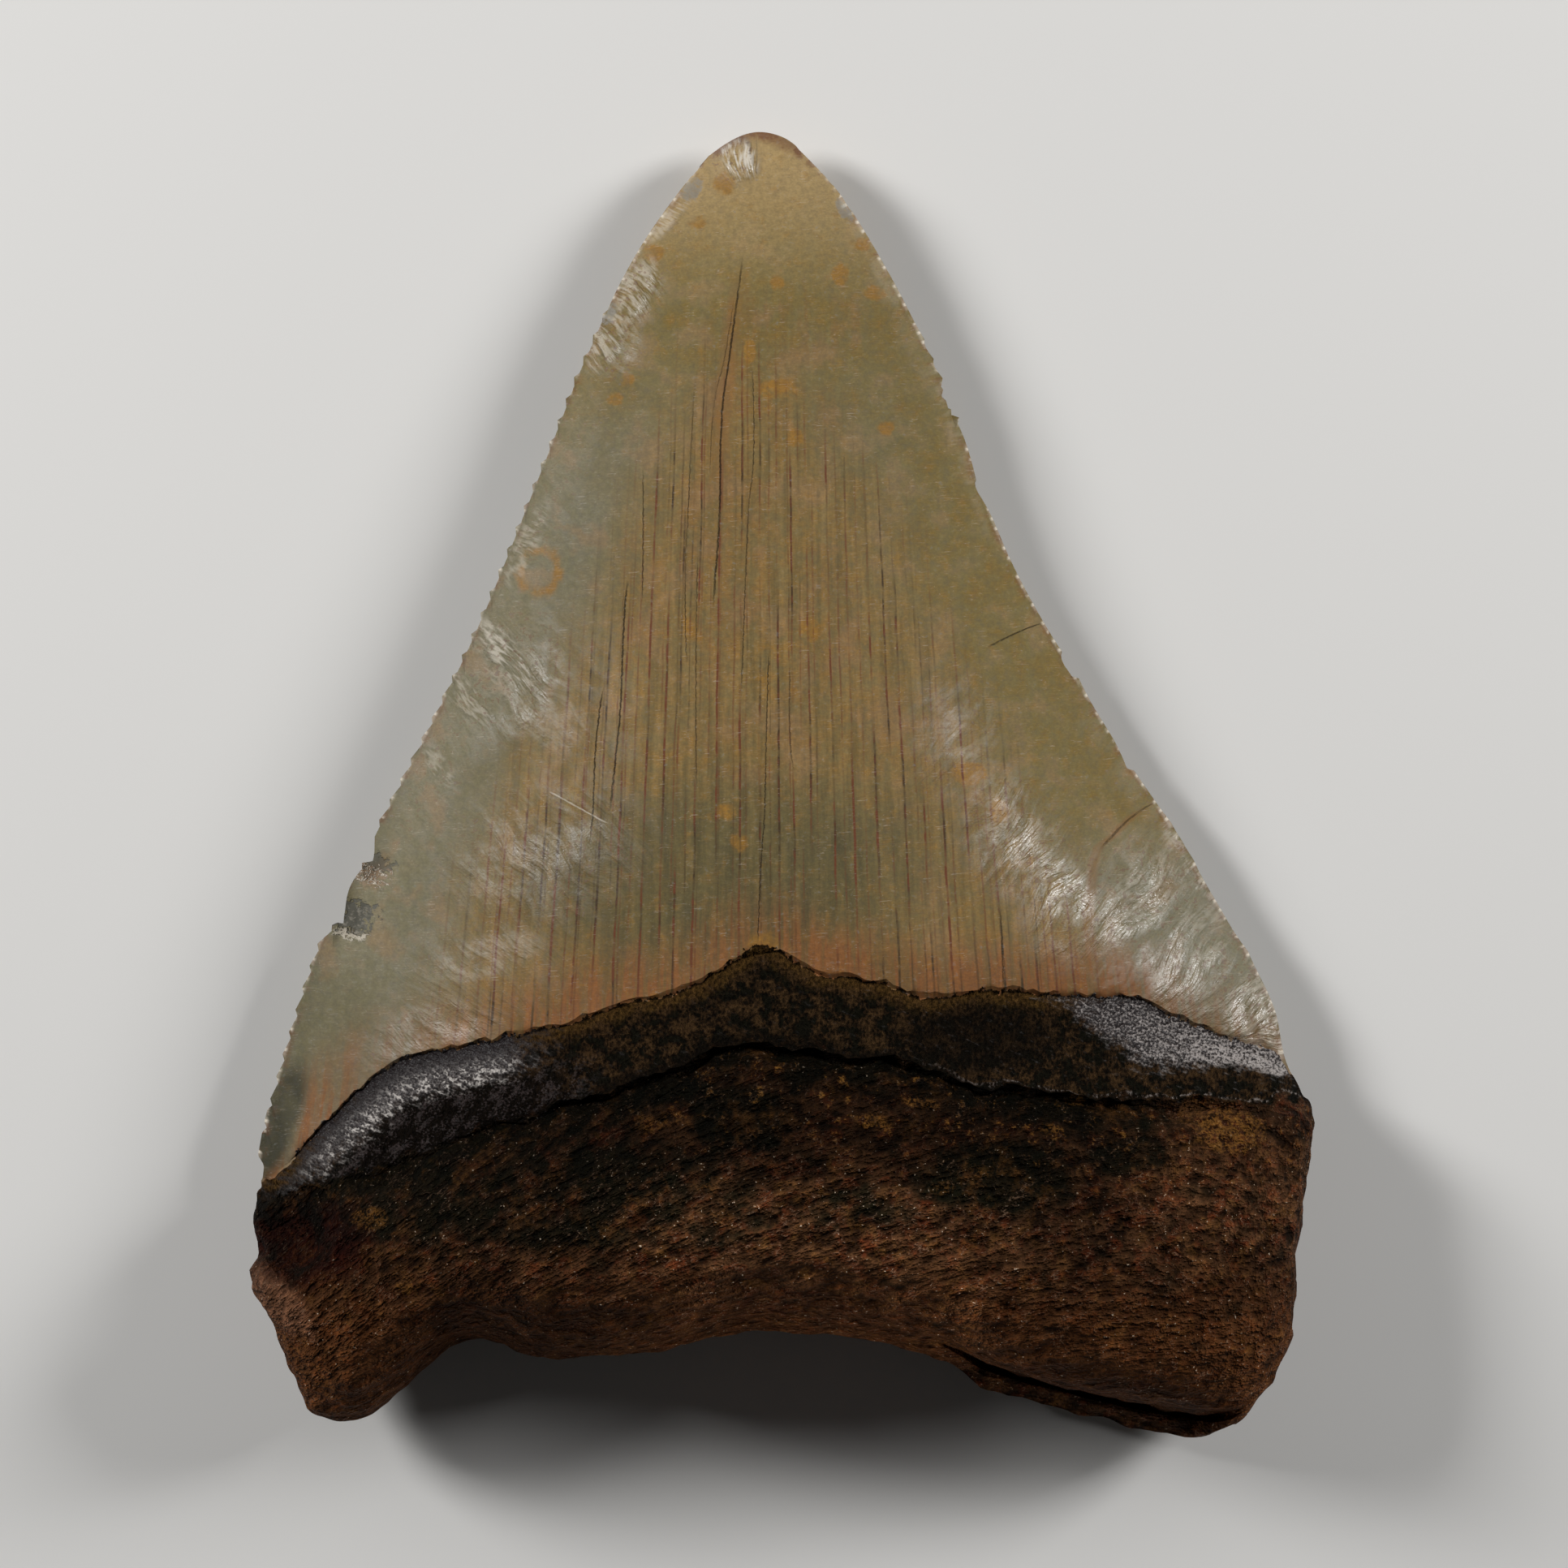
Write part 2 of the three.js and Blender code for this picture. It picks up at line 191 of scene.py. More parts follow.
def outwards(points: np.ndarray, at: Place, radii: Place, turn: float) -> np.ndarray:
    """Measures how far out points lie from the middle of an ellipse, seen from above.

    Args:
        points: the points in millimetres, one to a row.
        at: the middle of the ellipse.
        radii: its two radii.
        turn: the angle in degrees by which it is turned about Z.

    Returns:
        The squares of the distances, which are 0 in the middle and 1 on the ellipse.
    """
    cos, sin = math.cos(math.radians(turn)), math.sin(math.radians(turn))
    x, y = points[:, 0] - at[0], points[:, 1] - at[1]
    return ((x * cos + y * sin) / radii[0]) ** 2 + ((y * cos - x * sin) / radii[1]) ** 2


@dataclass(frozen=True)
class Scoop:
    """A chip or a pit: a hollow with a sharp rim, seen from above as an ellipse."""

    at: Place
    radii: Place
    depth: float
    turn: float = 0.0

    def depths(self, points: np.ndarray) -> np.ndarray:
        """Returns how deep the hollow is at each point."""
        return self.depth * np.clip(1.0 - outwards(points, self.at, self.radii, self.turn), 0.0, 1.0)


@dataclass(frozen=True)
class Patch:
    """A soft-edged patch of the surface, seen from above as an ellipse."""

    at: Place
    radii: Place
    strength: float = 1.0
    turn: float = 0.0

    def cover(self, points: np.ndarray) -> np.ndarray:
        """Returns how much of the patch there is at each point."""
        return self.strength * ramp(outwards(points, self.at, self.radii, self.turn), 1.6, 0.3)


@dataclass(frozen=True)
class Ring(Patch):
    """A soft-edged ring."""

    inner: float = 0.6  # the size of its hole, as a share of its own

    def cover(self, points: np.ndarray) -> np.ndarray:
        """Returns how much of the ring there is at each point."""
        hole = Patch(self.at, (self.radii[0] * self.inner, self.radii[1] * self.inner), turn=self.turn)
        return super().cover(points) * (1.0 - hole.cover(points))


def patches(*rows: tuple[float, ...]) -> tuple[Patch, ...]:
    """Makes patches.

    Args:
        rows: x, y and the two radii of each, then its strength and its turn where they aren't 1 and 0.

    Returns:
        The patches.
    """
    return tuple(Patch(row[:2], row[2:4], *row[4:]) for row in rows)


def covered(places: tuple[Patch, ...], points: np.ndarray) -> np.ndarray:
    """Returns how much of any of the patches there is at each point."""
    return np.max([patch.cover(points) for patch in places], axis=0)


# Ochre stains of the tip, the crown and the root.
STAINS = (Ring((-18.0, 15.6), (1.9, 2.0), 0.9), *patches(
    (-9.7, 39.2, 0.9, 0.6), (-6.4, 41.3, 0.8, 0.5), (6.7, 36.2, 0.9, 0.6), (4.2, 37.5, 0.7, 0.9),
    (5.9, 39.9, 0.6, 0.6), (-4.4, 44.2, 0.9, 0.9), (-12.4, 28.3, 0.7, 0.5), (-11.5, 29.7, 0.6, 0.5),
    (-0.5, 28.9, 1.5, 0.8), (0.8, 25.3, 0.7, 0.7), (7.5, 26.2, 0.7, 0.6), (-0.5, 36.8, 0.6, 0.6),
    (-2.5, 31.7, 0.5, 0.9), (1.9, 11.2, 0.9, 0.9), (-6.7, 11.5, 1.1, 1.3, 0.6),
    (13.6, 0.8, 1.4, 0.9, 1.2), (15.7, -2.0, 1.0, 0.9, 1.2), (-0.4, 8.5, 2.0, 3.4, 0.4),
    (-4.2, -2.0, 0.8, 0.6), (-3.3, -4.3, 0.7, 0.8), (-1.4, -11.6, 1.5, 1.0, 0.9),
    (32.6, -25.3, 2.8, 1.7, 1.3), (29.8, -23.9, 1.8, 0.9, 0.6, 20.0), (-30.1, -31.6, 1.6, 0.9, 0.8),
    (-27.4, -36.4, 1.0, 0.8, 0.8), (-9.1, -32.2, 0.8, 0.5, 0.6), (-5.4, -28.9, 0.7, 0.6, 0.7),
    (27.3, -45.5, 2.0, 1.2, 0.5), (38.0, -27.5, 1.5, 2.5, 0.5), (6.5, -24.3, 1.6, 0.7, 0.8, -8.0),
    (9.9, -23.0, 1.4, 0.6, 0.8, -8.0), (19.3, -25.0, 1.0, 0.5, 0.8), (21.2, -22.9, 0.9, 0.5, 0.8),
    (11.4, -29.2, 1.2, 0.7, 0.6), (14.5, -28.0, 1.2, 0.6, 0.6), (-9.0, -24.4, 2.4, 0.9, 0.5, 10.0),
))

# Grey-green places of the enamel.
COOL = patches(
    (-4.1, -6.4, 15.5, 6.6, 0.9, 4.0), (-33.4, -18.9, 4.0, 5.0, 0.5), (14.0, -4.0, 5.0, 2.0, 0.3, 30.0),
)

# The grey-green foot of the enamel at its left end, darker partly as painted shade on that corner.
SHADED_GREEN_FOOT = Patch((-37.4, -25.0), (1.6, 4.6), 1.0, -20.0)

# The ridge at the left end of the root, raised and painted pale as its highlight, and the red hollow beside
# it with its painted shade.
RIDGE = Patch((-36.8, -37.6), (3.6, 1.3), 1.0, -44.0)
HOLLOW = Patch((-35.2, -33.2), (5.0, 3.4))
HOLLOW_SHADE = Patch((-35.2, -33.2), (5.0, 3.2))

# Green-black places of the band and the root.
DARK = patches(
    (-26.7, -28.4, 3.4, 1.7), (-13.0, -28.1, 3.4, 1.9), (-14.3, -32.4, 3.6, 1.2), (15.5, -28.4, 5.6, 2.8),
    (5.0, -30.6, 5.0, 1.6, 0.6), (-3.0, -24.0, 4.0, 2.4), (-18.0, -30.0, 16.0, 3.6, 0.7, 6.0),
    (14.0, -18.5, 6.0, 2.4, 0.9), (-8.0, -31.6, 9.0, 2.0, 0.5), (25.0, -27.0, 3.0, 1.5, 0.7),
    (-35.8, -33.8, 3.6, 2.2, 0.5), (20.0, -36.0, 3.5, 1.5, 0.3),
)

# How light the root is, from its base up.
LEVELS = ((-49.0, 1.8), (-43.0, 1.4), (-38.0, 1.1), (-32.0, 0.76), (-25.0, 0.38))

# How glossy the dark band is from left to right, how far the gloss reaches down from the enamel, and how
# bright its painted sheen is.
GLOSS = (
    (-38.0, 0.2), (-34.0, 0.8), (-28.0, 1.0), (-21.0, 1.0), (-18.5, 0.4), (-15.0, 0.0), (17.5, 0.0),
    (22.0, 0.7), (26.0, 1.0), (39.0, 1.0),
)
GLOSS_WIDTH = (
    (-38.0, 1.8), (-30.0, 3.0), (-20.0, 2.8), (20.0, 0.6), (23.3, 3.0), (25.7, 4.0), (28.0, 3.3),
    (31.0, 2.3), (33.4, 1.6), (39.0, 1.6),
)
BRIGHT = (
    (-38.0, 0.2), (-30.0, 0.35), (-22.0, 0.4), (-19.0, 0.2), (20.0, 0.0), (24.0, 0.15), (28.5, 0.5),
    (33.0, 1.25), (38.0, 1.5),
)

# The pinkish, cracked middle of the crown: (y, left side, right side).
MIDDLE = (
    (-20.0, -26.5, 27.5), (-8.0, -23.5, 21.0), (1.1, -20.8, 16.0), (7.2, -17.6, 14.0),
    (13.1, -14.8, 10.4), (18.2, -12.5, 8.4), (22.3, -11.0, 6.4), (27.8, -8.6, 2.0), (31.0, -6.6, -1.0),
)

# Places of the enamel that were worn rough and glint, most of them along the two flanks; they are glossier
# and painted a little lighter as highlight.
BATTERED = patches(
    (-11.2, 36.6, 2.6, 3.0), (-12.8, 32.6, 2.6, 3.0), (-3.6, 46.2, 1.8, 2.2),
    (-20.0, 8.0, 4.0, 5.5, 1.0, -25.0), (-17.2, 22.0, 2.4, 9.0, 0.6, -20.0),
    (26.5, 2.0, 3.0, 9.0, 0.6, 32.0), (-14.5, 4.0, 4.5, 8.0, 0.5), (-17.5, -5.0, 8.0, 5.5, 0.8, 15.0),
    (-22.0, -13.0, 7.0, 4.5, 0.5, 20.0), (-26.0, -18.5, 6.0, 2.6, 0.9, 20.0), (12.3, 3.5, 3.6, 5.0, 0.7),
    (17.0, -4.0, 4.0, 5.5, 1.0, 30.0), (21.5, -9.0, 4.5, 4.5, 1.0, 30.0),
    (27.2, -9.0, 4.2, 6.0, 1.0, 20.0), (31.0, -15.0, 5.0, 4.0, 1.0, 30.0), (35.0, -18.2, 3.2, 3.2),
    (-25.0, 2.0, 2.4, 8.0, 0.7, -28.0), (9.5, 34.0, 1.4, 9.0, 0.5, 25.0),
)

# Places in the middle of the enamel that are browner.
SMUDGES = patches(
    (0.5, 33.5, 6.0, 3.4, 0.5), (-4.6, 17.0, 3.4, 9.0, 0.6), (-4.0, 29.0, 2.4, 6.0, 0.5),
    (1.0, 27.0, 4.0, 3.0, 0.4), (-10.5, 14.0, 2.0, 5.0, 0.4), (3.0, 12.0, 2.4, 6.0, 0.4),
    (-11.0, -7.0, 5.0, 2.6, 0.5), (8.0, 4.0, 4.0, 3.0, 0.35), (-2.0, 3.0, 5.0, 3.0, 0.35),
    (-14.0, -12.5, 4.0, 2.0, 0.5),
)

# Places of the enamel that are glossier and painted bright as highlights: along the left edge, over the
# right corner and towards the tip.
GLINTS = patches(
    (-20.8, 8.8, 1.5, 2.8, 0.6, 35.0), (-23.6, 5.6, 1.0, 2.4, 0.35, 40.0),
    (-17.0, 5.6, 2.0, 4.2, 0.3, 30.0), (-17.4, -5.0, 5.0, 1.8, 0.4, 25.0),
    (-21.6, -12.6, 4.0, 1.5, 0.5, 15.0), (-25.0, -18.4, 2.6, 0.8, 0.5, 15.0),
    (13.0, 3.0, 1.2, 3.0, 0.35, 20.0), (16.8, -3.8, 1.6, 3.0, 0.8, 35.0),
    (20.4, -7.6, 1.8, 3.2, 0.9, 35.0), (26.4, -8.4, 2.0, 4.4, 0.9, -45.0),
    (30.0, -12.5, 2.4, 4.4, 0.7, -45.0), (34.4, -17.0, 1.9, 3.6, 1.0, -20.0),
    (29.5, -5.4, 0.7, 3.0, 0.8, 30.0), (25.5, -13.4, 3.0, 1.4, 0.35, 20.0),
    (12.6, 26.0, 0.5, 8.0, 0.25, 18.0), (7.0, 38.0, 0.5, 4.0, 0.25, 30.0),
)

# Small places painted pale as glints, which are also glossier and more rippled.
GLINT_SPOTS = patches(
    (-3.3, 46.2, 1.2, 1.7, 1.7, 30.0), (-11.0, 36.4, 1.3, 2.6, 0.8, -25.0),
    (-13.0, 32.8, 1.2, 2.6, 0.8, -25.0), (-19.0, 17.6, 0.9, 3.4, 0.5, -25.0),
    (-20.6, 9.6, 1.0, 3.4, 1.0, 38.0), (-23.4, 6.4, 0.9, 2.6, 0.6, 38.0),
    (-25.6, 1.4, 0.8, 2.2, 0.5, 38.0), (-19.0, 5.2, 0.8, 2.6, 0.35, 38.0),
    (35.6, -17.0, 1.2, 2.6, 0.8, 20.0), (30.8, -6.6, 0.6, 3.0, 0.8, 30.0),
    (-8.4, 42.0, 0.7, 2.4, 0.6, -40.0),
)

# Small grey nicks in the cutting edges near the tip.
NICKS = patches(
    (-6.9, 43.9, 0.7, 1.1, 1.0, -38.0), (4.5, 42.4, 0.5, 1.0, 1.0, 30.0),
    (-13.0, 34.8, 0.6, 1.0, 1.0, -25.0),
)

# How strong the orange band over the edge of the enamel is, from left to right.
FOOTING = (
    (-39.0, 0.9), (-34.0, 0.7), (-28.0, 0.35), (-20.0, 0.7), (-17.0, 1.0), (-11.0, 1.0), (-6.0, 0.7),
    (-1.7, 0.5), (2.0, 0.9), (8.0, 1.0), (23.0, 1.0), (28.0, 0.5), (36.0, 0.35),
)


def screen(red: int, green: int, blue: int) -> Colour:
    """Turns a colour as a screen shows it into the linear values that shaders use.

    Args:
        red: its red part, from 0 to 255.
        green: its green part.
        blue: its blue part.

    Returns:
        The three linear values, from 0 to 1.
    """
    def linear(value: int) -> float:
        """Turns one channel into its linear value."""
        share = value / 255.0
        return share / 12.92 if share <= 0.04045 else ((share + 0.055) / 1.055) ** 2.4
    return linear(red), linear(green), linear(blue)


class Socket:
    """An output of a node, on which shader maths is written as plain arithmetic."""

    def __init__(self, shader: "Shader", socket: bpy.types.NodeSocket) -> None:
        """Keeps the socket and the shader that it belongs to."""
        self.shader = shader
        self.socket = socket

    def _math(self, operation: str, first: "Operand", second: "Operand" = 0.0) -> "Socket":
        """Adds one Math node."""
        return self.shader.add("ShaderNodeMath", {"operation": operation}, {0: first, 1: second})

    def __add__(self, other: "Operand") -> "Socket":
        """Adds."""
        return self._math("ADD", self, other)

    __radd__ = __add__

    def __sub__(self, other: "Operand") -> "Socket":
        """Subtracts."""
        return self._math("SUBTRACT", self, other)

    def __rsub__(self, other: "Operand") -> "Socket":
        """Subtracts from a number."""
        return self._math("SUBTRACT", other, self)

    def __mul__(self, other: "Operand") -> "Socket":
        """Multiplies."""
        return self._math("MULTIPLY", self, other)

    __rmul__ = __mul__

    def __truediv__(self, other: "Operand") -> "Socket":
        """Divides."""
        return self._math("DIVIDE", self, other)

    def __neg__(self) -> "Socket":
        """Changes the sign."""
        return self._math("MULTIPLY", self, -1.0)

    def __abs__(self) -> "Socket":
        """Drops the sign."""
        return self._math("ABSOLUTE", self)

    def wave(self) -> "Socket":
        """Takes the sine."""
        return self._math("SINE", self)

    def least(self, other: "Operand") -> "Socket":
        """Takes the smaller value."""
        return self._math("MINIMUM", self, other)

    def most(self, other: "Operand") -> "Socket":
        """Takes the larger value."""
        return self._math("MAXIMUM", self, other)

    def ramp(self, start: float, end: float) -> "Socket":
        """Rises smoothly from 0 at start to 1 at end, or falls where start is the larger one.

        Args:
            start: the value that gives 0.
            end: the value that gives 1.

        Returns:
            The result, from 0 to 1.
        """
        rises = start < end
        return self.shader.add(
            "ShaderNodeMapRange", {"interpolation_type": "SMOOTHSTEP"},
            {"Value": self, "From Min": min(start, end), "From Max": max(start, end),
             "To Min": 0.0 if rises else 1.0, "To Max": 1.0 if rises else 0.0},
        )


Operand = Socket | float


def strongest(masks: list[Socket]) -> Socket:
    """Joins masks into one that is everywhere as strong as the strongest of them.

    Args:
        masks: the masks, at least one.

    Returns:
        The joined mask.
    """
    joined = masks[0]
    for mask in masks[1:]:
        joined = joined.most(mask)
    return joined


class Pattern(Enum):
    """Whether a pattern is the same at every height, or runs through the whole solid."""

    FLAT = "2D"
    SOLID = "3D"


class Shader:
    """The node tree of one material, with the few kinds of node that the finishes share."""

    def __init__(self, name: str) -> None:
        """Makes a material with nothing but its output.

        Args:
            name: what the material is called.
        """
        self.material = bpy.data.materials.new(name)
        self.material.use_nodes = True
        self.tree = self.material.node_tree
        self.tree.nodes.remove(self.tree.nodes["Principled BSDF"])
        self.place = self.scaled(self.add("ShaderNodeTexCoord", {}, {}, "Object"), 1.0 / MM)
        split = self.add("ShaderNodeSeparateXYZ", {}, {0: self.place})
        self.x, self.y, self.z = (Socket(self, split.socket.node.outputs[axis]) for axis in "XYZ")

    def add(self, kind: str, settings: dict[str, object], inputs: dict[str | int, object],
            output: str | int = 0) -> Socket:
        """Adds a node.

        Args:
            kind: the type of node.
            settings: its settings, which are made first.
            inputs: the values or links of its sockets.
            output: the socket that is returned.

        Returns:
            The output, ready for arithmetic.
        """
        node = self.tree.nodes.new(kind)
        for name, value in settings.items():
            setattr(node, name, value)
        for name, value in inputs.items():
            if isinstance(value, Socket):
                self.tree.links.new(value.socket, node.inputs[name])
            else:
                node.inputs[name].default_value = value
        return Socket(self, node.outputs[output])

    def attribute(self, name: str) -> Socket:
        """Reads a value that is stored on the mesh."""
        return self.add("ShaderNodeAttribute", {"attribute_name": name}, {}, "Fac")

    def vector(self, x: Operand, y: Operand, z: Operand = 0.0) -> Socket:
        """Joins three values."""
        return self.add("ShaderNodeCombineXYZ", {}, {0: x, 1: y, 2: z})

    def spread(self, place: Socket, size: float | Colour, seed: float) -> Socket:
        """Scales a place for a pattern of a given size, and shifts it by the seed.

        Args:
            place: where the pattern is read, in millimetres.
            size: the size of its lumps, or one size for each axis.
            seed: shifts the pattern, so that no two are alike.

        Returns:
            The place to read the pattern at.
        """
        sizes = size if isinstance(size, tuple) else (size, size, size)
        return self.add(
            "ShaderNodeVectorMath", {"operation": "MULTIPLY_ADD"},
            {0: place, 1: tuple(1.0 / one for one in sizes), 2: (seed * 7.3, seed * 3.1, seed * 5.7)},
        )

    def noise(self, place: Socket, size: float | Colour, seed: float, detail: float = 1.0,
              pattern: Pattern = Pattern.FLAT) -> Socket:
        """Gives cloudy values around 0.5.

        Args:
            place: where, in millimetres.
            size: the size of the clouds in millimetres, or one size for each axis.
            seed: shifts the pattern.
            detail: how many finer layers are added.
            pattern: whether it is the same at every height.

        Returns:
            The values.
        """
        return self.add(
            "ShaderNodeTexNoise", {"noise_dimensions": pattern.value},
            {"Vector": self.spread(place, size, seed), "Scale": 1.0, "Detail": detail, "Roughness": 0.6},
        )

    def turned(self, place: Socket, degrees: float) -> Socket:
        """Turns a place about Z, so that a pattern runs aslant.

        Args:
            place: the place.
            degrees: the angle.

        Returns:
            The turned place.
        """
        return self.add(
            "ShaderNodeVectorRotate", {"rotation_type": "Z_AXIS"},
            {"Vector": place, "Angle": -math.radians(degrees)},
        )

    def mix(self, share: Operand, first: object, second: object) -> Socket:
        """Mixes two colours.

        Args:
            share: how much of the second there is, from 0 to 1.
            first: the first colour.
            second: the second colour.

        Returns:
            The mixture.
        """
        return self.add(
            "ShaderNodeMix", {"data_type": "RGBA"},
            {0: share, 6: self.opaque(first), 7: self.opaque(second)}, 2,
        )

    def layers(self, colour: object, *coats: tuple[Operand, object]) -> Socket:
        """Lays colours over a first one.

        Args:
            colour: the first colour.
            coats: the share of each further colour, and the colour.

        Returns:
            The colour that they make.
        """
        for share, coat in coats:
            colour = self.mix(share, colour, coat)
        return colour

    def tint(self, colour: Socket, value: Socket, dark: float, light: float) -> Socket:
        """Darkens or lightens a colour, with values around 0.5 read as strengths between two.

        Args:
            colour: the colour.
            value: the pattern that decides.
            dark: the strength at the low end of the pattern.
            light: the strength at its high end.

        Returns:
            The changed colour.
        """
        strength = self.add(
            "ShaderNodeMapRange", {},
            {"Value": value, "From Min": 0.3, "From Max": 0.7, "To Min": dark, "To Max": light},
        )
        return self.scaled(colour, strength)

    def scaled(self, vector: Socket, factor: Operand) -> Socket:
        """Multiplies a colour or a place by one value."""
        return self.add("ShaderNodeVectorMath", {"operation": "SCALE"}, {0: vector, "Scale": factor})

    @staticmethod
    def opaque(colour: object) -> object:
        """Adds the fourth channel that a colour's socket wants."""
        return (*colour, 1.0) if isinstance(colour, tuple) else colour

    def curve(self, value: Socket, places: tuple[Place, ...]) -> Socket:
        """Reads a smooth curve through pairs of input and output, which may be any numbers.

        Args:
            value: the input.
            places: the pairs, with their inputs rising.

        Returns:
            The output.
        """
        inputs, outputs = zip(*places)
        low, reach = min(outputs), max(max(outputs) - min(outputs), 1e-6)
        span = inputs[-1] - inputs[0]
        traced = self.add("ShaderNodeFloatCurve", {}, {"Value": (value - inputs[0]) / span})
        mapping = traced.socket.node.mapping
        points = mapping.curves[0].points
        while len(points) < len(places):
            points.new(0.5, 0.5)
        for point, (along, across) in zip(points, places):
            point.location = ((along - inputs[0]) / span, (across - low) / reach)
        mapping.update()
        return traced * reach + low

    def surface(self, colour: Socket, roughness: Operand, height: Socket, shine: float) -> Socket:
        """Adds a surface.

        Args:
            colour: its colour.
            roughness: its roughness.
            height: its relief in millimetres.
            shine: how strongly it mirrors, where 0.5 is usual.

        Returns:
            The surface, ready to be mixed or shown.
        """
        normal = self.add("ShaderNodeBump", {}, {"Strength": 1.0, "Distance": MM, "Height": height})
        return self.add(
            "ShaderNodeBsdfPrincipled", {},
            {"Base Color": colour, "Roughness": roughness, "Normal": normal, "Specular IOR Level": shine},
        )

    def either(self, share: Socket, first: Socket, second: Socket) -> Socket:
        """Mixes two surfaces."""
        return self.add("ShaderNodeMixShader", {}, {0: share, 1: first, 2: second})

    def show(self, surface: Socket) -> bpy.types.Material:
        """Gives the surface to the material, and returns the material."""
        self.tree.links.new(surface.socket, self.tree.nodes["Material Output"].inputs["Surface"])
        return self.material


@dataclass(frozen=True)
class Crack:
    """A dark crack in the enamel that runs roughly from root to tip, with places listed from the tip."""

    path: tuple[Place, ...]
    strength: float
    width: float = 0.07
    fade: float = 1.2

    def mask(self, shader: Shader, wiggle: Socket) -> Socket:
        """Draws the crack with a wiggle.

        Args:
            shader: the shader that the crack is drawn in.
            wiggle: how far the crack is off its line at each place, in millimetres.

        Returns:
            A mask that is 1 in the crack and 0 beside it.
        """
        rising = tuple((along, across) for across, along in reversed(self.path))
        away = abs(shader.x + wiggle - shader.curve(shader.y, rising))
        low, high = rising[0][0], rising[-1][0]
        inside = shader.y.ramp(low, low + self.fade) * shader.y.ramp(high, high - self.fade)
        return away.ramp(self.width, self.width * 0.3) * inside * self.strength


@dataclass(frozen=True)
class Scar:
    """A chip in the cutting edge, seen from above as a turned box: u runs across it and v runs up."""

    at: Place
    half: Place
    turn: float

    def local(self, shader: Shader) -> tuple[Socket, Socket]:
        """Measures where a place lies in the box.

        Args:
            shader: the shader of the whole fossil.

        Returns:
            How far across and how far up the box it lies, from -1 to 1 inside it.
        """
        cos, sin = math.cos(math.radians(self.turn)), math.sin(math.radians(self.turn))
        x, y = shader.x - self.at[0], shader.y - self.at[1]
        return (x * cos + y * sin) / self.half[0], (y * cos - x * sin) / self.half[1]

    @staticmethod
    def inside(u: Socket, v: Socket, low: float = -1.0, high: float = 1.0) -> Socket:
        """Returns a mask of the box between two heights."""
        middle, reach = (low + high) / 2.0, (high - low) / 2.0
        return abs(u).ramp(1.0, 0.75) * abs(v - middle).ramp(reach, reach - 0.2)


@dataclass(frozen=True)
class EnamelPatterns:
    """The patterns that the colours, cracks, wear and painted highlights of the enamel share."""

    fan: Socket
    fanned: Socket
    clouds: Socket
    smudge: Socket
    fine: Socket
    grit: Socket
    streaks: Socket
    brushed: Socket
    ribs: Socket
    wiggle: Socket


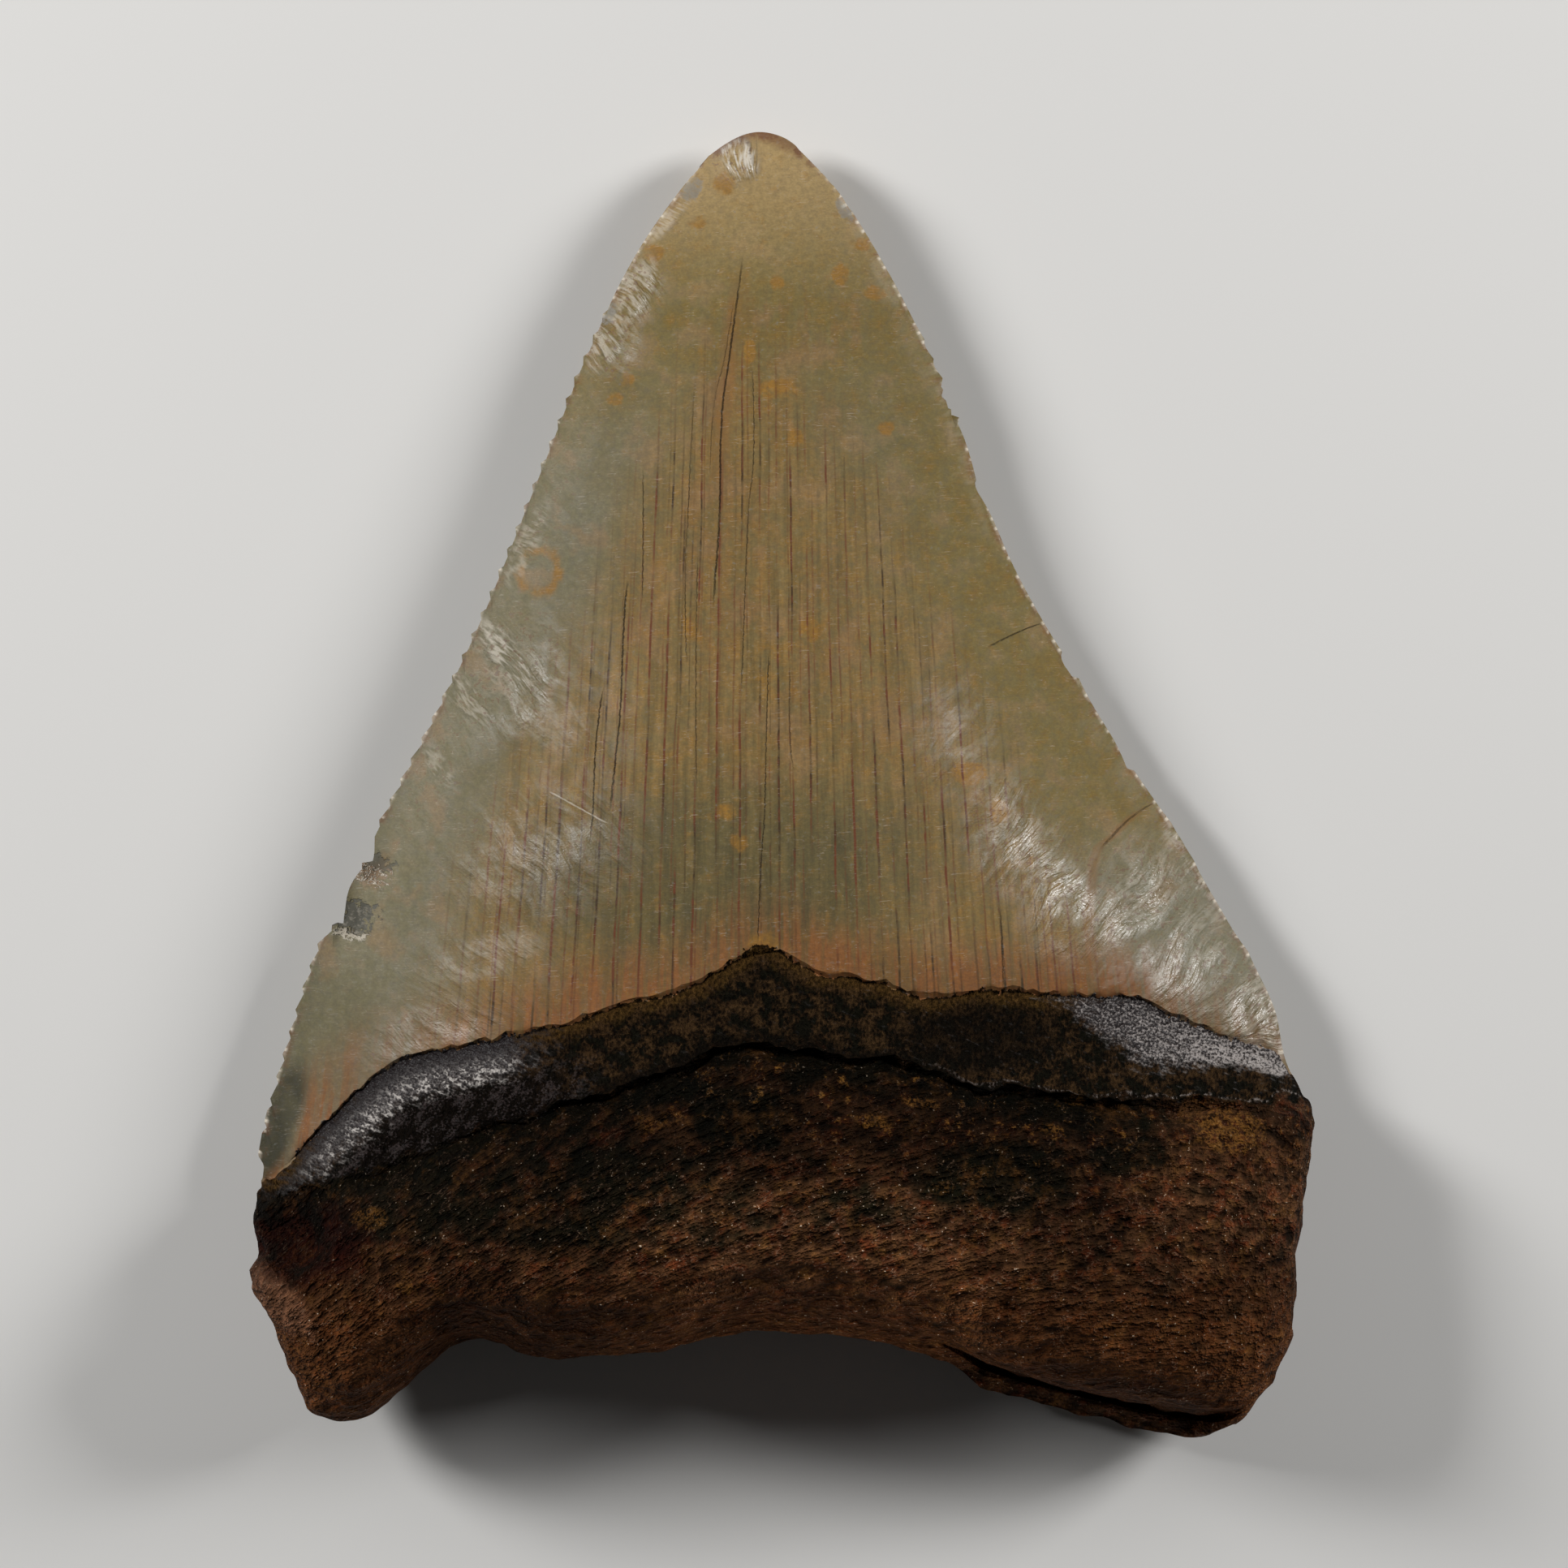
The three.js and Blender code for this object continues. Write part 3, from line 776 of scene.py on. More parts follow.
@dataclass(frozen=True)
class EnamelFinish:
    """Worn enamel: olive tan and cloudy, with fine cracks in the middle and an orange foot."""

    olive: Colour = screen(113, 93, 42)
    grey: Colour = screen(114, 100, 57)
    silver: Colour = screen(112, 108, 88)
    tan: Colour = screen(124, 97, 52)
    # paler tip: painted light from above
    pale: Colour = screen(159, 134, 90)
    cool: Colour = screen(80, 74, 43)
    # green-grey of the enamel's left foot, dark partly as painted shade
    shaded_green_foot: Colour = screen(52, 49, 30)
    orange: Colour = screen(120, 74, 34)
    ochre: Colour = screen(138, 98, 30)
    rust: Colour = screen(98, 52, 22)
    line: Colour = screen(60, 42, 14)
    deep: Colour = screen(34, 22, 0)
    pink: Colour = screen(140, 108, 72)
    brown: Colour = screen(112, 80, 34)
    green: Colour = screen(104, 98, 66)
    # pale grey: painted highlights and glints, and also the real pale wear of the scratches
    worn: Colour = screen(204, 195, 180)
    # painted glints on the serrations
    serration_glint: Colour = screen(216, 206, 188)
    smear: Colour = screen(126, 82, 36)
    # blue-grey of broken enamel, dark partly as painted shade
    chip: Colour = screen(78, 78, 74)
    nicked: Colour = screen(122, 123, 121)
    scar: Colour = screen(150, 122, 100)
    fan_x: float = -1.9  # the hairlines fan out from a point far above the tip
    fan_y: float = 234.0
    tip_y: float = 48.0
    serration_mm: float = 0.78
    shine: float = 0.4
    hairline_sets: tuple[tuple[float, ...], ...] = (  # spacing, width, strength and seed of each
        (1.1, 0.1, 1.0, 31.0), (0.7, 0.08, 0.45, 37.0),
    )
    recess: Scar = Scar((-30.1, -5.8), (1.2, 0.55), -22.0)
    shell: Scar = Scar((-30.6, -6.8), (1.35, 0.75), -22.0)
    facet: Scar = Scar((-31.8, -9.8), (1.4, 1.2), -14.0)
    halos: tuple[Crack, ...] = (
        Crack(((-2.9, 39.4), (-3.5, 35.0), (-4.0, 31.3), (-4.6, 26.0), (-4.7, 19.8)), 0.4, 1.0, 5.0),
        Crack(((27.4, -1.4), (25.6, -2.5), (24.1, -3.9), (23.0, -4.9), (22.6, -6.8), (22.4, -14.6)),
              0.5, 0.6, 1.0),
    )
    cracks: tuple[Crack, ...] = (
        Crack(((-3.0, 39.2), (-3.1, 38.2), (-3.5, 35.0), (-4.0, 31.3), (-4.6, 26.0), (-4.7, 19.8),
               (-5.0, 15.1), (-5.2, 12.2)), 1.0, 0.095, 2.6),
        Crack(((-3.6, 36.0), (-4.3, 31.5), (-5.2, 27.0), (-5.4, 22.0)), 0.6, 0.05, 2.5),
        Crack(((-6.5, 30.1), (-7.0, 19.8), (-7.2, 14.0), (-7.0, 8.0)), 0.8, 0.055, 2.5),
        Crack(((-2.5, 31.3), (-2.2, 25.6), (-2.6, 19.8), (-2.8, 15.1), (-3.1, 6.0)), 0.8, 0.055, 2.5),
        Crack(((-10.4, 23.3), (-10.3, 19.0), (-10.4, 13.0)), 0.8, 0.055, 1.5),
        Crack(((-11.4, 15.2), (-11.7, 11.5), (-11.9, 6.0), (-12.4, 0.5), (-12.7, -2.3)), 1.0, 0.09, 1.5),
        Crack(((-13.1, 7.3), (-13.7, 3.0), (-14.0, -3.2), (-14.2, -4.4)), 1.0, 0.075, 1.5),
        Crack(((-6.2, 17.3), (-6.4, 9.7), (-6.4, 4.0), (-6.3, -1.0)), 0.8, 0.055, 2.5),
        Crack(((-1.1, 9.7), (-1.3, 2.9), (-1.4, -1.7), (-1.7, -6.5), (-1.9, -11.6)), 0.9, 0.06, 1.0),
        Crack(((0.5, 9.1), (0.4, 4.7), (1.0, 0.4)), 0.7, 0.055, 2.0),
        Crack(((15.8, -8.9), (16.0, -15.2)), 0.8, 0.06, 1.2),
        Crack(((19.3, 12.0), (17.5, 11.3), (14.9, 10.0)), 0.9, 0.17, 0.3),
        Crack(((28.6, -1.0), (27.4, -1.4), (25.6, -2.5), (24.1, -3.9), (23.2, -4.9)), 0.7, 0.16, 0.7),
    )
    scratch: Crack = Crack(((-17.2, -0.5), (-15.0, -1.7), (-12.8, -2.9)), 0.5, 0.17, 0.2)

    def surface(self, shader: Shader) -> Socket:
        """Adds the finish to a shader.

        Args:
            shader: the shader of the whole fossil.

        Returns:
            The surface.
        """
        battered, glint_spot = shader.attribute("battered"), shader.attribute("glint_spot")
        on = self.patterns(shader)
        colour, groove, dark = self.cracked(shader, on, self.tones(shader, on))
        colour, serration_glints = self.wear_and_highlights(shader, on, colour)
        colour, hollow, raised = self.chipped(shader, colour, on.fine)
        height = battered * (0.02 * on.grit + 0.07 * on.brushed + 0.2 * on.ribs) + 0.02 * on.fine
        height = height + glint_spot * (0.1 * on.brushed + 0.3 * on.ribs)
        height = height + 0.05 * serration_glints - 0.05 * groove + 0.1 * raised - 0.06 * hollow
        polish = battered * (0.4 + 0.6 * (0.5 * on.clouds + 0.5 * on.ribs).ramp(0.42, 0.56))
        gloss = 0.32 * polish + 0.24 * shader.attribute("glint").most(glint_spot)
        return shader.surface(colour, 0.8 - gloss + 0.4 * (on.fine - 0.5) + 0.2 * dark, height, self.shine)

    def patterns(self, shader: Shader) -> EnamelPatterns:
        """Adds the patterns: some lie flat, some follow the fan, and some sweep in from the edges.

        Args:
            shader: the shader of the whole fossil.

        Returns:
            The patterns.
        """
        place, from_edge = shader.place, shader.attribute("from_edge")
        fan = (shader.x - self.fan_x) * (self.fan_y - self.tip_y) / (self.fan_y - shader.y)
        fanned = shader.vector(fan, shader.y)
        drift = 1.5 * shader.noise(place, 4.0, 12.0, 0.0)
        swept = shader.vector(shader.attribute("along_edge") - 0.3 * from_edge + drift, from_edge)
        fine = shader.noise(place, (0.5, 0.4, 1.0), 2.0, 2.0)
        return EnamelPatterns(
            fan=fan,
            fanned=fanned,
            clouds=shader.noise(place, 3.4, 1.0, 3.0),
            smudge=shader.noise(place, 1.1, 6.0, 3.0) - 0.5,
            fine=fine,
            grit=shader.noise(place, (0.2, 0.14, 1.0), 9.0),
            streaks=shader.noise(fanned, (0.5, 7.0, 1.0), 4.0, 3.0),
            brushed=shader.noise(swept, (0.3, 1.0, 1.0), 8.0, 1.5),
            ribs=shader.noise(swept, (1.1, 3.2, 1.0), 11.0),
            wiggle=0.16 * (fine - 0.5),
        )

    def tones(self, shader: Shader, on: EnamelPatterns) -> Socket:
        """Mixes the cloudy colours of the enamel, with its stains.

        Args:
            shader: the shader of the whole fossil.
            on: the patterns of the enamel.

        Returns:
            The colour.
        """
        margin, warm, stain = (shader.attribute(name) for name in ("margin", "warm", "stain"))
        foot = shader.attribute("above_enamel_line").ramp(5.5, 0.3) * shader.attribute("footing")
        blotch = (stain + 2.6 * on.smudge).ramp(-0.1, 1.5) * stain.ramp(0.0, 0.8)
        freckles = (0.3 - 0.24 * margin) * on.smudge.ramp(0.05, 0.26)
        colour = shader.layers(
            self.olive,
            (on.clouds.ramp(0.34, 0.66), self.grey),
            (margin * (0.5 + 0.7 * on.clouds), self.silver),
            (warm * (0.3 + 0.8 * on.streaks), self.tan),
            (shader.attribute("smudged") * (on.clouds + on.streaks - 0.5).ramp(0.3, 0.7), self.brown),
            (on.smudge.ramp(0.06, -0.16) * 0.35, self.green),
            (on.clouds.ramp(0.5, 0.7) * 0.4, self.pink),
            # lighter towards the tip: painted light from above
            (shader.attribute("pale"), self.pale),
            (shader.attribute("cool") * (0.35 + 0.8 * on.clouds), self.cool),
            ((foot * (0.45 + 0.9 * on.streaks.ramp(0.35, 0.65))).least(0.9), self.orange),
            # green-grey foot, its darkness partly painted shade
            (shader.attribute("shaded_green_foot") * (0.45 + on.clouds), self.shaded_green_foot),
            ((blotch + freckles).least(0.8), self.ochre),
        )
        striped = 0.5 + warm * (on.streaks - 0.5)
        for value, dark, light in ((on.fine, 0.86, 1.14), (on.grit, 0.92, 1.08), (striped, 0.8, 1.2)):
            colour = shader.tint(colour, value, dark, light)
        return colour

    def cracked(self, shader: Shader, on: EnamelPatterns, colour: Socket) -> tuple[Socket, Socket, Socket]:
        """Draws the cracks and the rusty rim.

        Args:
            shader: the shader to add to.
            on: the patterns.
            colour: the colour without them.

        Returns:
            The colour with them, where the longer cracks are, and where they are dark.
        """
        lines, inked = self.hairlines(shader, on)
        halo = strongest([crack.mask(shader, on.wiggle) for crack in self.halos])
        groove = strongest([crack.mask(shader, on.wiggle) for crack in self.cracks])
        dark = groove * (0.4 + 0.6 * on.streaks.ramp(0.3, 0.5))
        at_edge = on.smudge.ramp(-0.06, 0.1) + shader.y.ramp(45.5, 47.5)
        at_foot = shader.attribute("above_enamel_line").ramp(0.3, 0.1) * on.fine.ramp(0.4, 0.6) * 0.7
        rim = (shader.attribute("from_edge").ramp(0.9, 0.1) * at_edge).most(at_foot)
        colour = shader.layers(
            colour,
            (lines * 0.95, shader.mix(inked, self.rust, self.line)),
            (halo * (0.4 + 0.9 * on.streaks), self.smear),
            (dark * 0.9, self.deep),
            ((rim * 0.6).least(0.8), self.rust),
        )
        return colour, groove, dark

    def hairlines(self, shader: Shader, on: EnamelPatterns) -> tuple[Socket, Socket]:
        """Draws the many fine cracks that fan out over the middle of the crown.

        Args:
            shader: the shader to add to.
            on: the patterns.

        Returns:
            Where the cracks are, and how dark rather than rusty they are.
        """
        wobble = shader.noise(on.fanned, (2.5, 9.0, 1.0), 21.0, 2.0) - 0.5
        jitter = shader.noise(on.fanned, (0.8, 1.6, 1.0), 22.0, 2.0) - 0.5
        drawn = []
        for spacing, width, strength, seed in self.hairline_sets:
            edge = shader.add(
                "ShaderNodeTexVoronoi", {"voronoi_dimensions": "1D", "feature": "DISTANCE_TO_EDGE"},
                {"W": (on.fan + 0.22 * wobble + 0.06 * jitter) / spacing + seed, "Scale": 1.0}, "Distance",
            )
            present = shader.noise(on.fanned, (spacing * 1.1, 12.0, 1.0), seed).ramp(0.3, 0.6)
            drawn.append((edge * spacing).ramp(width, width * 0.2) * present * strength)
        lines = strongest(drawn) * shader.attribute("crazed") * (0.55 + 0.9 * jitter.ramp(-0.12, 0.12))
        return lines, (wobble + 0.5 * jitter).ramp(0.06, -0.1)

    def wear_and_highlights(self, shader: Shader, on: EnamelPatterns, colour: Socket) -> tuple[Socket, Socket]:
        """Draws the painted highlights, the painted glint spots, the scratches and the painted glints on the
        serrations.

        Args:
            shader: the shader to add to.
            on: the patterns.
            colour: the colour without them.

        Returns:
            The colour with them, and where the serrations carry painted glints.
        """
        battered, from_edge = shader.attribute("battered"), shader.attribute("from_edge")
        # painted highlights on the glossy and battered places
        painted_highlight = (0.06 * battered).most(0.33 * shader.attribute("glint"))
        painted_highlight = painted_highlight * (0.5 * on.brushed + 0.5 * on.ribs).ramp(0.43, 0.6)
        # painted glints at the glint spots
        painted_glint = shader.attribute("glint_spot") * (0.65 * on.brushed + 0.35 * on.ribs).ramp(0.4, 0.64)
        # painted glints on the points of the serrations
        waves = (shader.attribute("along_edge") * (2.0 * math.pi / self.serration_mm)).wave()
        serration_glints = (0.35 + 0.65 * waves.ramp(0.2, 0.95)) * from_edge.ramp(0.45, 0.15)
        serration_glints = serration_glints * (on.ribs + on.smudge).ramp(0.36, 0.6) * shader.y.ramp(46.5, 44.0) * 0.9
        scratches = abs(shader.noise(shader.turned(shader.place, 4.0), (2.2, 0.2, 1.0), 10.0) - 0.5)
        scratches = scratches.ramp(0.014, 0.003) * on.smudge.ramp(-0.05, 0.1) * 0.22
        colour = shader.layers(
            colour,
            (painted_highlight.most(0.6 * painted_glint), self.worn),
            (on.fine.ramp(0.6, 0.68) * battered * 0.5, self.rust),
            (serration_glints, self.serration_glint),
            (scratches.most(self.scratch.mask(shader, on.wiggle)), self.worn),
            ((shader.attribute("nicked") + 2.4 * (on.fine - 0.5)).ramp(0.25, 1.1) * 0.6, self.nicked),
        )
        return colour, serration_glints

    def chipped(self, shader: Shader, colour: Socket, fine: Socket) -> tuple[Socket, Socket, Socket]:
        """Draws the two chips in the left cutting edge, with painted shade in them and painted highlights on
        them.

        Args:
            shader: the shader to add to.
            colour: the colour around them.
            fine: fine noise, which frays them.

        Returns:
            The colour with the chips, where they are hollow, and where their ridges are.
        """
        fray = 2.8 * (fine - 0.5)
        u, v = self.recess.local(shader)
        recess = self.recess.inside(u + fray, v + fray)
        u, v = self.shell.local(shader)
        shell = self.shell.inside(u + fray, v + fray)
        arcs = ((v + 0.5 * u * u + 0.9 * fray) * 10.0).wave().ramp(-0.3, 1.1) * shell
        u, v = self.facet.local(shader)
        facet = self.facet.inside(u + fray, v + 0.6 * fray)
        lips = self.facet.inside(u + 0.5 * fray, v + 0.4 * fray, -1.4, -0.9)
        # the chips' blue-grey is partly painted shade; their ridges, lips and the lighter side of the lower
        # facet are painted highlights
        colour = shader.layers(
            colour,
            (recess * 0.55, self.chip),
            (shell * 0.5, self.scar),
            (arcs * 0.85, self.worn),
            (facet * 0.75, self.chip),
            (facet * (fray + 0.4 * u).ramp(0.0, 0.7) * 0.3, self.worn),
            (lips * 0.6, self.worn),
        )
        return colour, recess.most(facet), arcs.most(lips)


@dataclass(frozen=True)
class BandFinish:
    """The dark band: nearly black and crumbly in the middle, glossy grey and pebbled towards both ends, with
    painted sheen.
    """

    black: Colour = screen(12, 8, 5)
    brown: Colour = screen(56, 40, 23)
    green: Colour = screen(16, 16, 9)
    fringe: Colour = screen(76, 54, 24)
    # painted highlight on the crests of the wrinkles
    crest_highlight: Colour = screen(52, 42, 41)
    grey: Colour = screen(33, 28, 29)
    # the painted sheen of the band's glossy ends
    shine: Colour = screen(156, 149, 145)
    # painted sparkles
    spark: Colour = screen(190, 184, 178)
    crumbly_roughness: float = 0.7
    crumbly_shine: float = 0.02
    polished_shine: float = 0.25

    def surface(self, shader: Shader) -> Socket:
        """Adds the finish to a shader.

        Args:
            shader: the shader of the whole fossil.

        Returns:
            The surface.
        """
        place, wrinkled = shader.place, shader.attribute("wrinkled")
        below, to_furrow = -shader.attribute("above_enamel_line"), shader.attribute("above_furrow")
        clouds = shader.noise(place, 1.2, 41.0, 4.0)
        specks = shader.noise(place, (0.24, 0.3, 1.0), 42.0, 2.0)
        pebbles = shader.noise(place, (0.2, 0.16, 1.0), 43.0)
        folds = shader.noise(shader.turned(place, 50.0), (1.5, 0.7, 1.0), 44.0, 3.0)
        sheen = shader.noise(shader.turned(place, -20.0), (0.9, 0.35, 1.0), 45.0, 2.0)

        fringe = (below + 1.8 * (clouds - 0.5)).ramp(1.3, 0.3) * (0.4 + 0.9 * specks)
        creased = (0.6 * folds + 0.4 * pebbles).ramp(0.48, 0.6)
        # the folds painted lit on their crests and black in their valleys
        painted_fold_light = shader.mix(creased * specks, self.black, self.crest_highlight)
        # a painted highlight along the rim of the ledge over the furrow
        ledge = to_furrow.ramp(0.05, 0.15) * to_furrow.ramp(0.34, 0.2) * shader.attribute("ledge")
        # painted shade in the furrow, joined with the dark places
        furrow_shade = shader.attribute("furrow_shade").most(shader.attribute("dark"))
        colour = shader.layers(
            self.black,
            ((0.75 * clouds + 0.25 * specks).ramp(0.42, 0.66) * 0.9, self.brown),
            (clouds.ramp(0.5, 0.38) * 0.6, self.green),
            (fringe * 0.65, self.fringe),
            (wrinkled, painted_fold_light),
            # painted shadow under the enamel's lip
            (below.ramp(0.14, 0.03) * 0.7, self.black),
            (ledge * (specks + clouds - 0.5).ramp(0.45, 0.75) * 0.35, self.shine),
            (furrow_shade * 0.8, self.black),
        )
        colour = shader.tint(colour, specks, 0.5, 1.5)
        height = 0.7 * clouds + 0.5 * specks
        crumbly = shader.surface(colour, self.crumbly_roughness, height, self.crumbly_shine)

        glossy = (shader.attribute("gloss") + sheen - 0.5).ramp(0.1, 0.9)
        leather = 0.5 * pebbles + 0.25 * sheen + 0.25 * specks
        bright = shader.attribute("bright")
        # painted sheen, grained like leather, as strong as the bright table says
        painted_sheen = bright * (6.0 * leather - 2.45)
        painted_sheen = painted_sheen + shader.x.ramp(0.0, 10.0) * (1.0 - bright) * (4.2 * leather - 2.1)
        sparks = (0.5 * sheen + 0.3 * specks + 0.2 * pebbles).ramp(0.51, 0.62)
        colour = shader.layers(
            self.grey,
            (painted_sheen, self.shine),
            (wrinkled * (1.0 - glossy), painted_fold_light),
            # painted sparkles along the lower border of the left gloss
            (shader.attribute("sparkling") * sparks * 0.85, self.spark),
        )
        height = 0.12 * pebbles + (0.3 + 0.9 * wrinkled) * folds + 0.15 * specks + 0.3 * sheen
        roughness = 0.8 - 0.45 * creased.most(0.9 * glossy) + 0.4 * (specks - 0.5)
        polished = shader.surface(colour, roughness, height, self.polished_shine)
        return shader.either(glossy.most(wrinkled * creased * 0.5), crumbly, polished)


@dataclass(frozen=True)
class RootFinish:
    """The root: very dark brown and stringy, with green-black patches and ochre stains."""

    brown: Colour = screen(65, 42, 25)
    umber: Colour = screen(29, 16, 7)
    rust: Colour = screen(84, 37, 18)
    # painted highlight of the ridge at the root's left end
    pink_ridge_highlight: Colour = screen(112, 78, 58)
    tan: Colour = screen(80, 45, 20)
    red: Colour = screen(52, 16, 9)
    green: Colour = screen(15, 15, 7)
    ochre: Colour = screen(116, 78, 34)
    gold: Colour = screen(132, 92, 40)
    # painted highlight on the fibres
    fibre_highlight: Colour = screen(122, 97, 77)
    # painted glints
    glint: Colour = screen(204, 186, 164)
    slope: float = 0.36  # the strings run aslant by this much, and bend by this much to a millimetre
    bend: float = 0.0058
    roughness: float = 0.6
    shine: float = 0.025

    def surface(self, shader: Shader) -> Socket:
        """Adds the finish to a shader.

        Args:
            shader: the shader of the whole fossil.

        Returns:
            The surface.
        """
        place, x, stain = shader.place, shader.x, shader.attribute("stain")
        string = shader.vector(x, shader.y - self.slope * x + self.bend * x * x, shader.z)
        strings = shader.noise(string, (1.4, 0.5, 0.7), 61.0, 2.0, Pattern.SOLID)
        tufts = shader.noise(string, (2.0, 1.1, 1.4), 62.0, 2.0, Pattern.SOLID)
        clouds = shader.noise(place, 1.2, 63.0, 3.0, Pattern.SOLID)
        moods = shader.noise(place, 2.4, 66.0, 3.0, Pattern.SOLID)
        motes = shader.noise(place, 0.5, 64.0, 2.0, Pattern.SOLID)
        grit = shader.noise(place, 0.2, 65.0, 1.0, Pattern.SOLID)

        # greener and darker in the dark places, which include the painted shade under the furrow
        gloomy = shader.attribute("dark") * 0.9 + 0.5 * (0.5 - motes) + 2.4 * (0.5 - moods)
        colour = shader.layers(
            self.umber,
            (tufts.ramp(0.38, 0.62), self.brown),
            (clouds.ramp(0.46, 0.7) * 0.55, self.rust),
            (shader.attribute("reddish"), self.red),
            # painted lighter towards the base
            (shader.attribute("low") * (0.1 + 0.8 * clouds), self.tan),
            (gloomy.ramp(0.0, 0.9) * 0.9, self.green),
            ((0.4 * motes + 0.6 * moods).ramp(0.5, 0.68) * 0.2, self.ochre),
            # painted highlight along the ridge
            (shader.attribute("ridge") * (1.6 * clouds - 0.35), self.pink_ridge_highlight),
        )
        for value, dark, light in ((strings, 0.5, 1.5), (motes, 0.75, 1.25), (grit, 0.75, 1.25)):
            colour = shader.tint(colour, value, dark, light)
        # painted highlights along the root's fibres
        fibre_highlights = abs(strings - 0.5).ramp(0.04, 0.0) * (0.6 * grit + clouds - 0.3).ramp(0.5, 0.66)
        colour = shader.layers(
            colour,
            (fibre_highlights * 0.5, self.fibre_highlight),
            # sparse painted glints
            ((0.35 * motes + 0.65 * grit).ramp(0.66, 0.72) * 0.7, self.glint),
        )
        blotch = (stain + 1.8 * (clouds - 0.5)).ramp(0.15, 1.3) * stain.ramp(0.0, 0.6)
        flecks = (0.5 * clouds + 0.3 * motes + 0.2 * grit).ramp(0.555, 0.66) * shader.attribute("golden")
        colour = shader.layers(
            shader.scaled(colour, shader.attribute("level")),
            (blotch * (grit + motes - 0.5).ramp(0.35, 0.65) * 0.7, self.ochre),
            (flecks * 0.55, self.gold),
        )
        height = 0.9 * strings + 0.8 * tufts + 0.2 * grit + 0.6 * clouds + 0.5 * motes + 0.08 * fibre_highlights
        return shader.surface(colour, self.roughness, height, self.shine)


@dataclass(frozen=True)
class FossilFinish:
    """The three finishes on one mesh, each in its own place."""

    enamel: EnamelFinish = EnamelFinish()
    band: BandFinish = BandFinish()
    root: RootFinish = RootFinish()

    def material(self) -> bpy.types.Material:
        """Makes the material, with ragged lines where one finish gives way to the next.

        Returns:
            The material.
        """
        shader = Shader("fossil")
        above, furrow = shader.attribute("above_enamel_line"), shader.attribute("above_furrow")
        ragged = shader.noise(shader.place, 0.5, 81.0, 3.0) - 0.5
        on_enamel = (above + ragged).ramp(0.05, 0.09)
        frayed = 1.8 * (shader.noise(shader.place, 1.3, 82.0, 3.0) - 0.5)
        on_band = (furrow + frayed).ramp(-0.3, 0.1) * shader.attribute("lingual")
        below = shader.either(on_band, self.root.surface(shader), self.band.surface(shader))
        return shader.show(shader.either(on_enamel, below, self.enamel.surface(shader)))


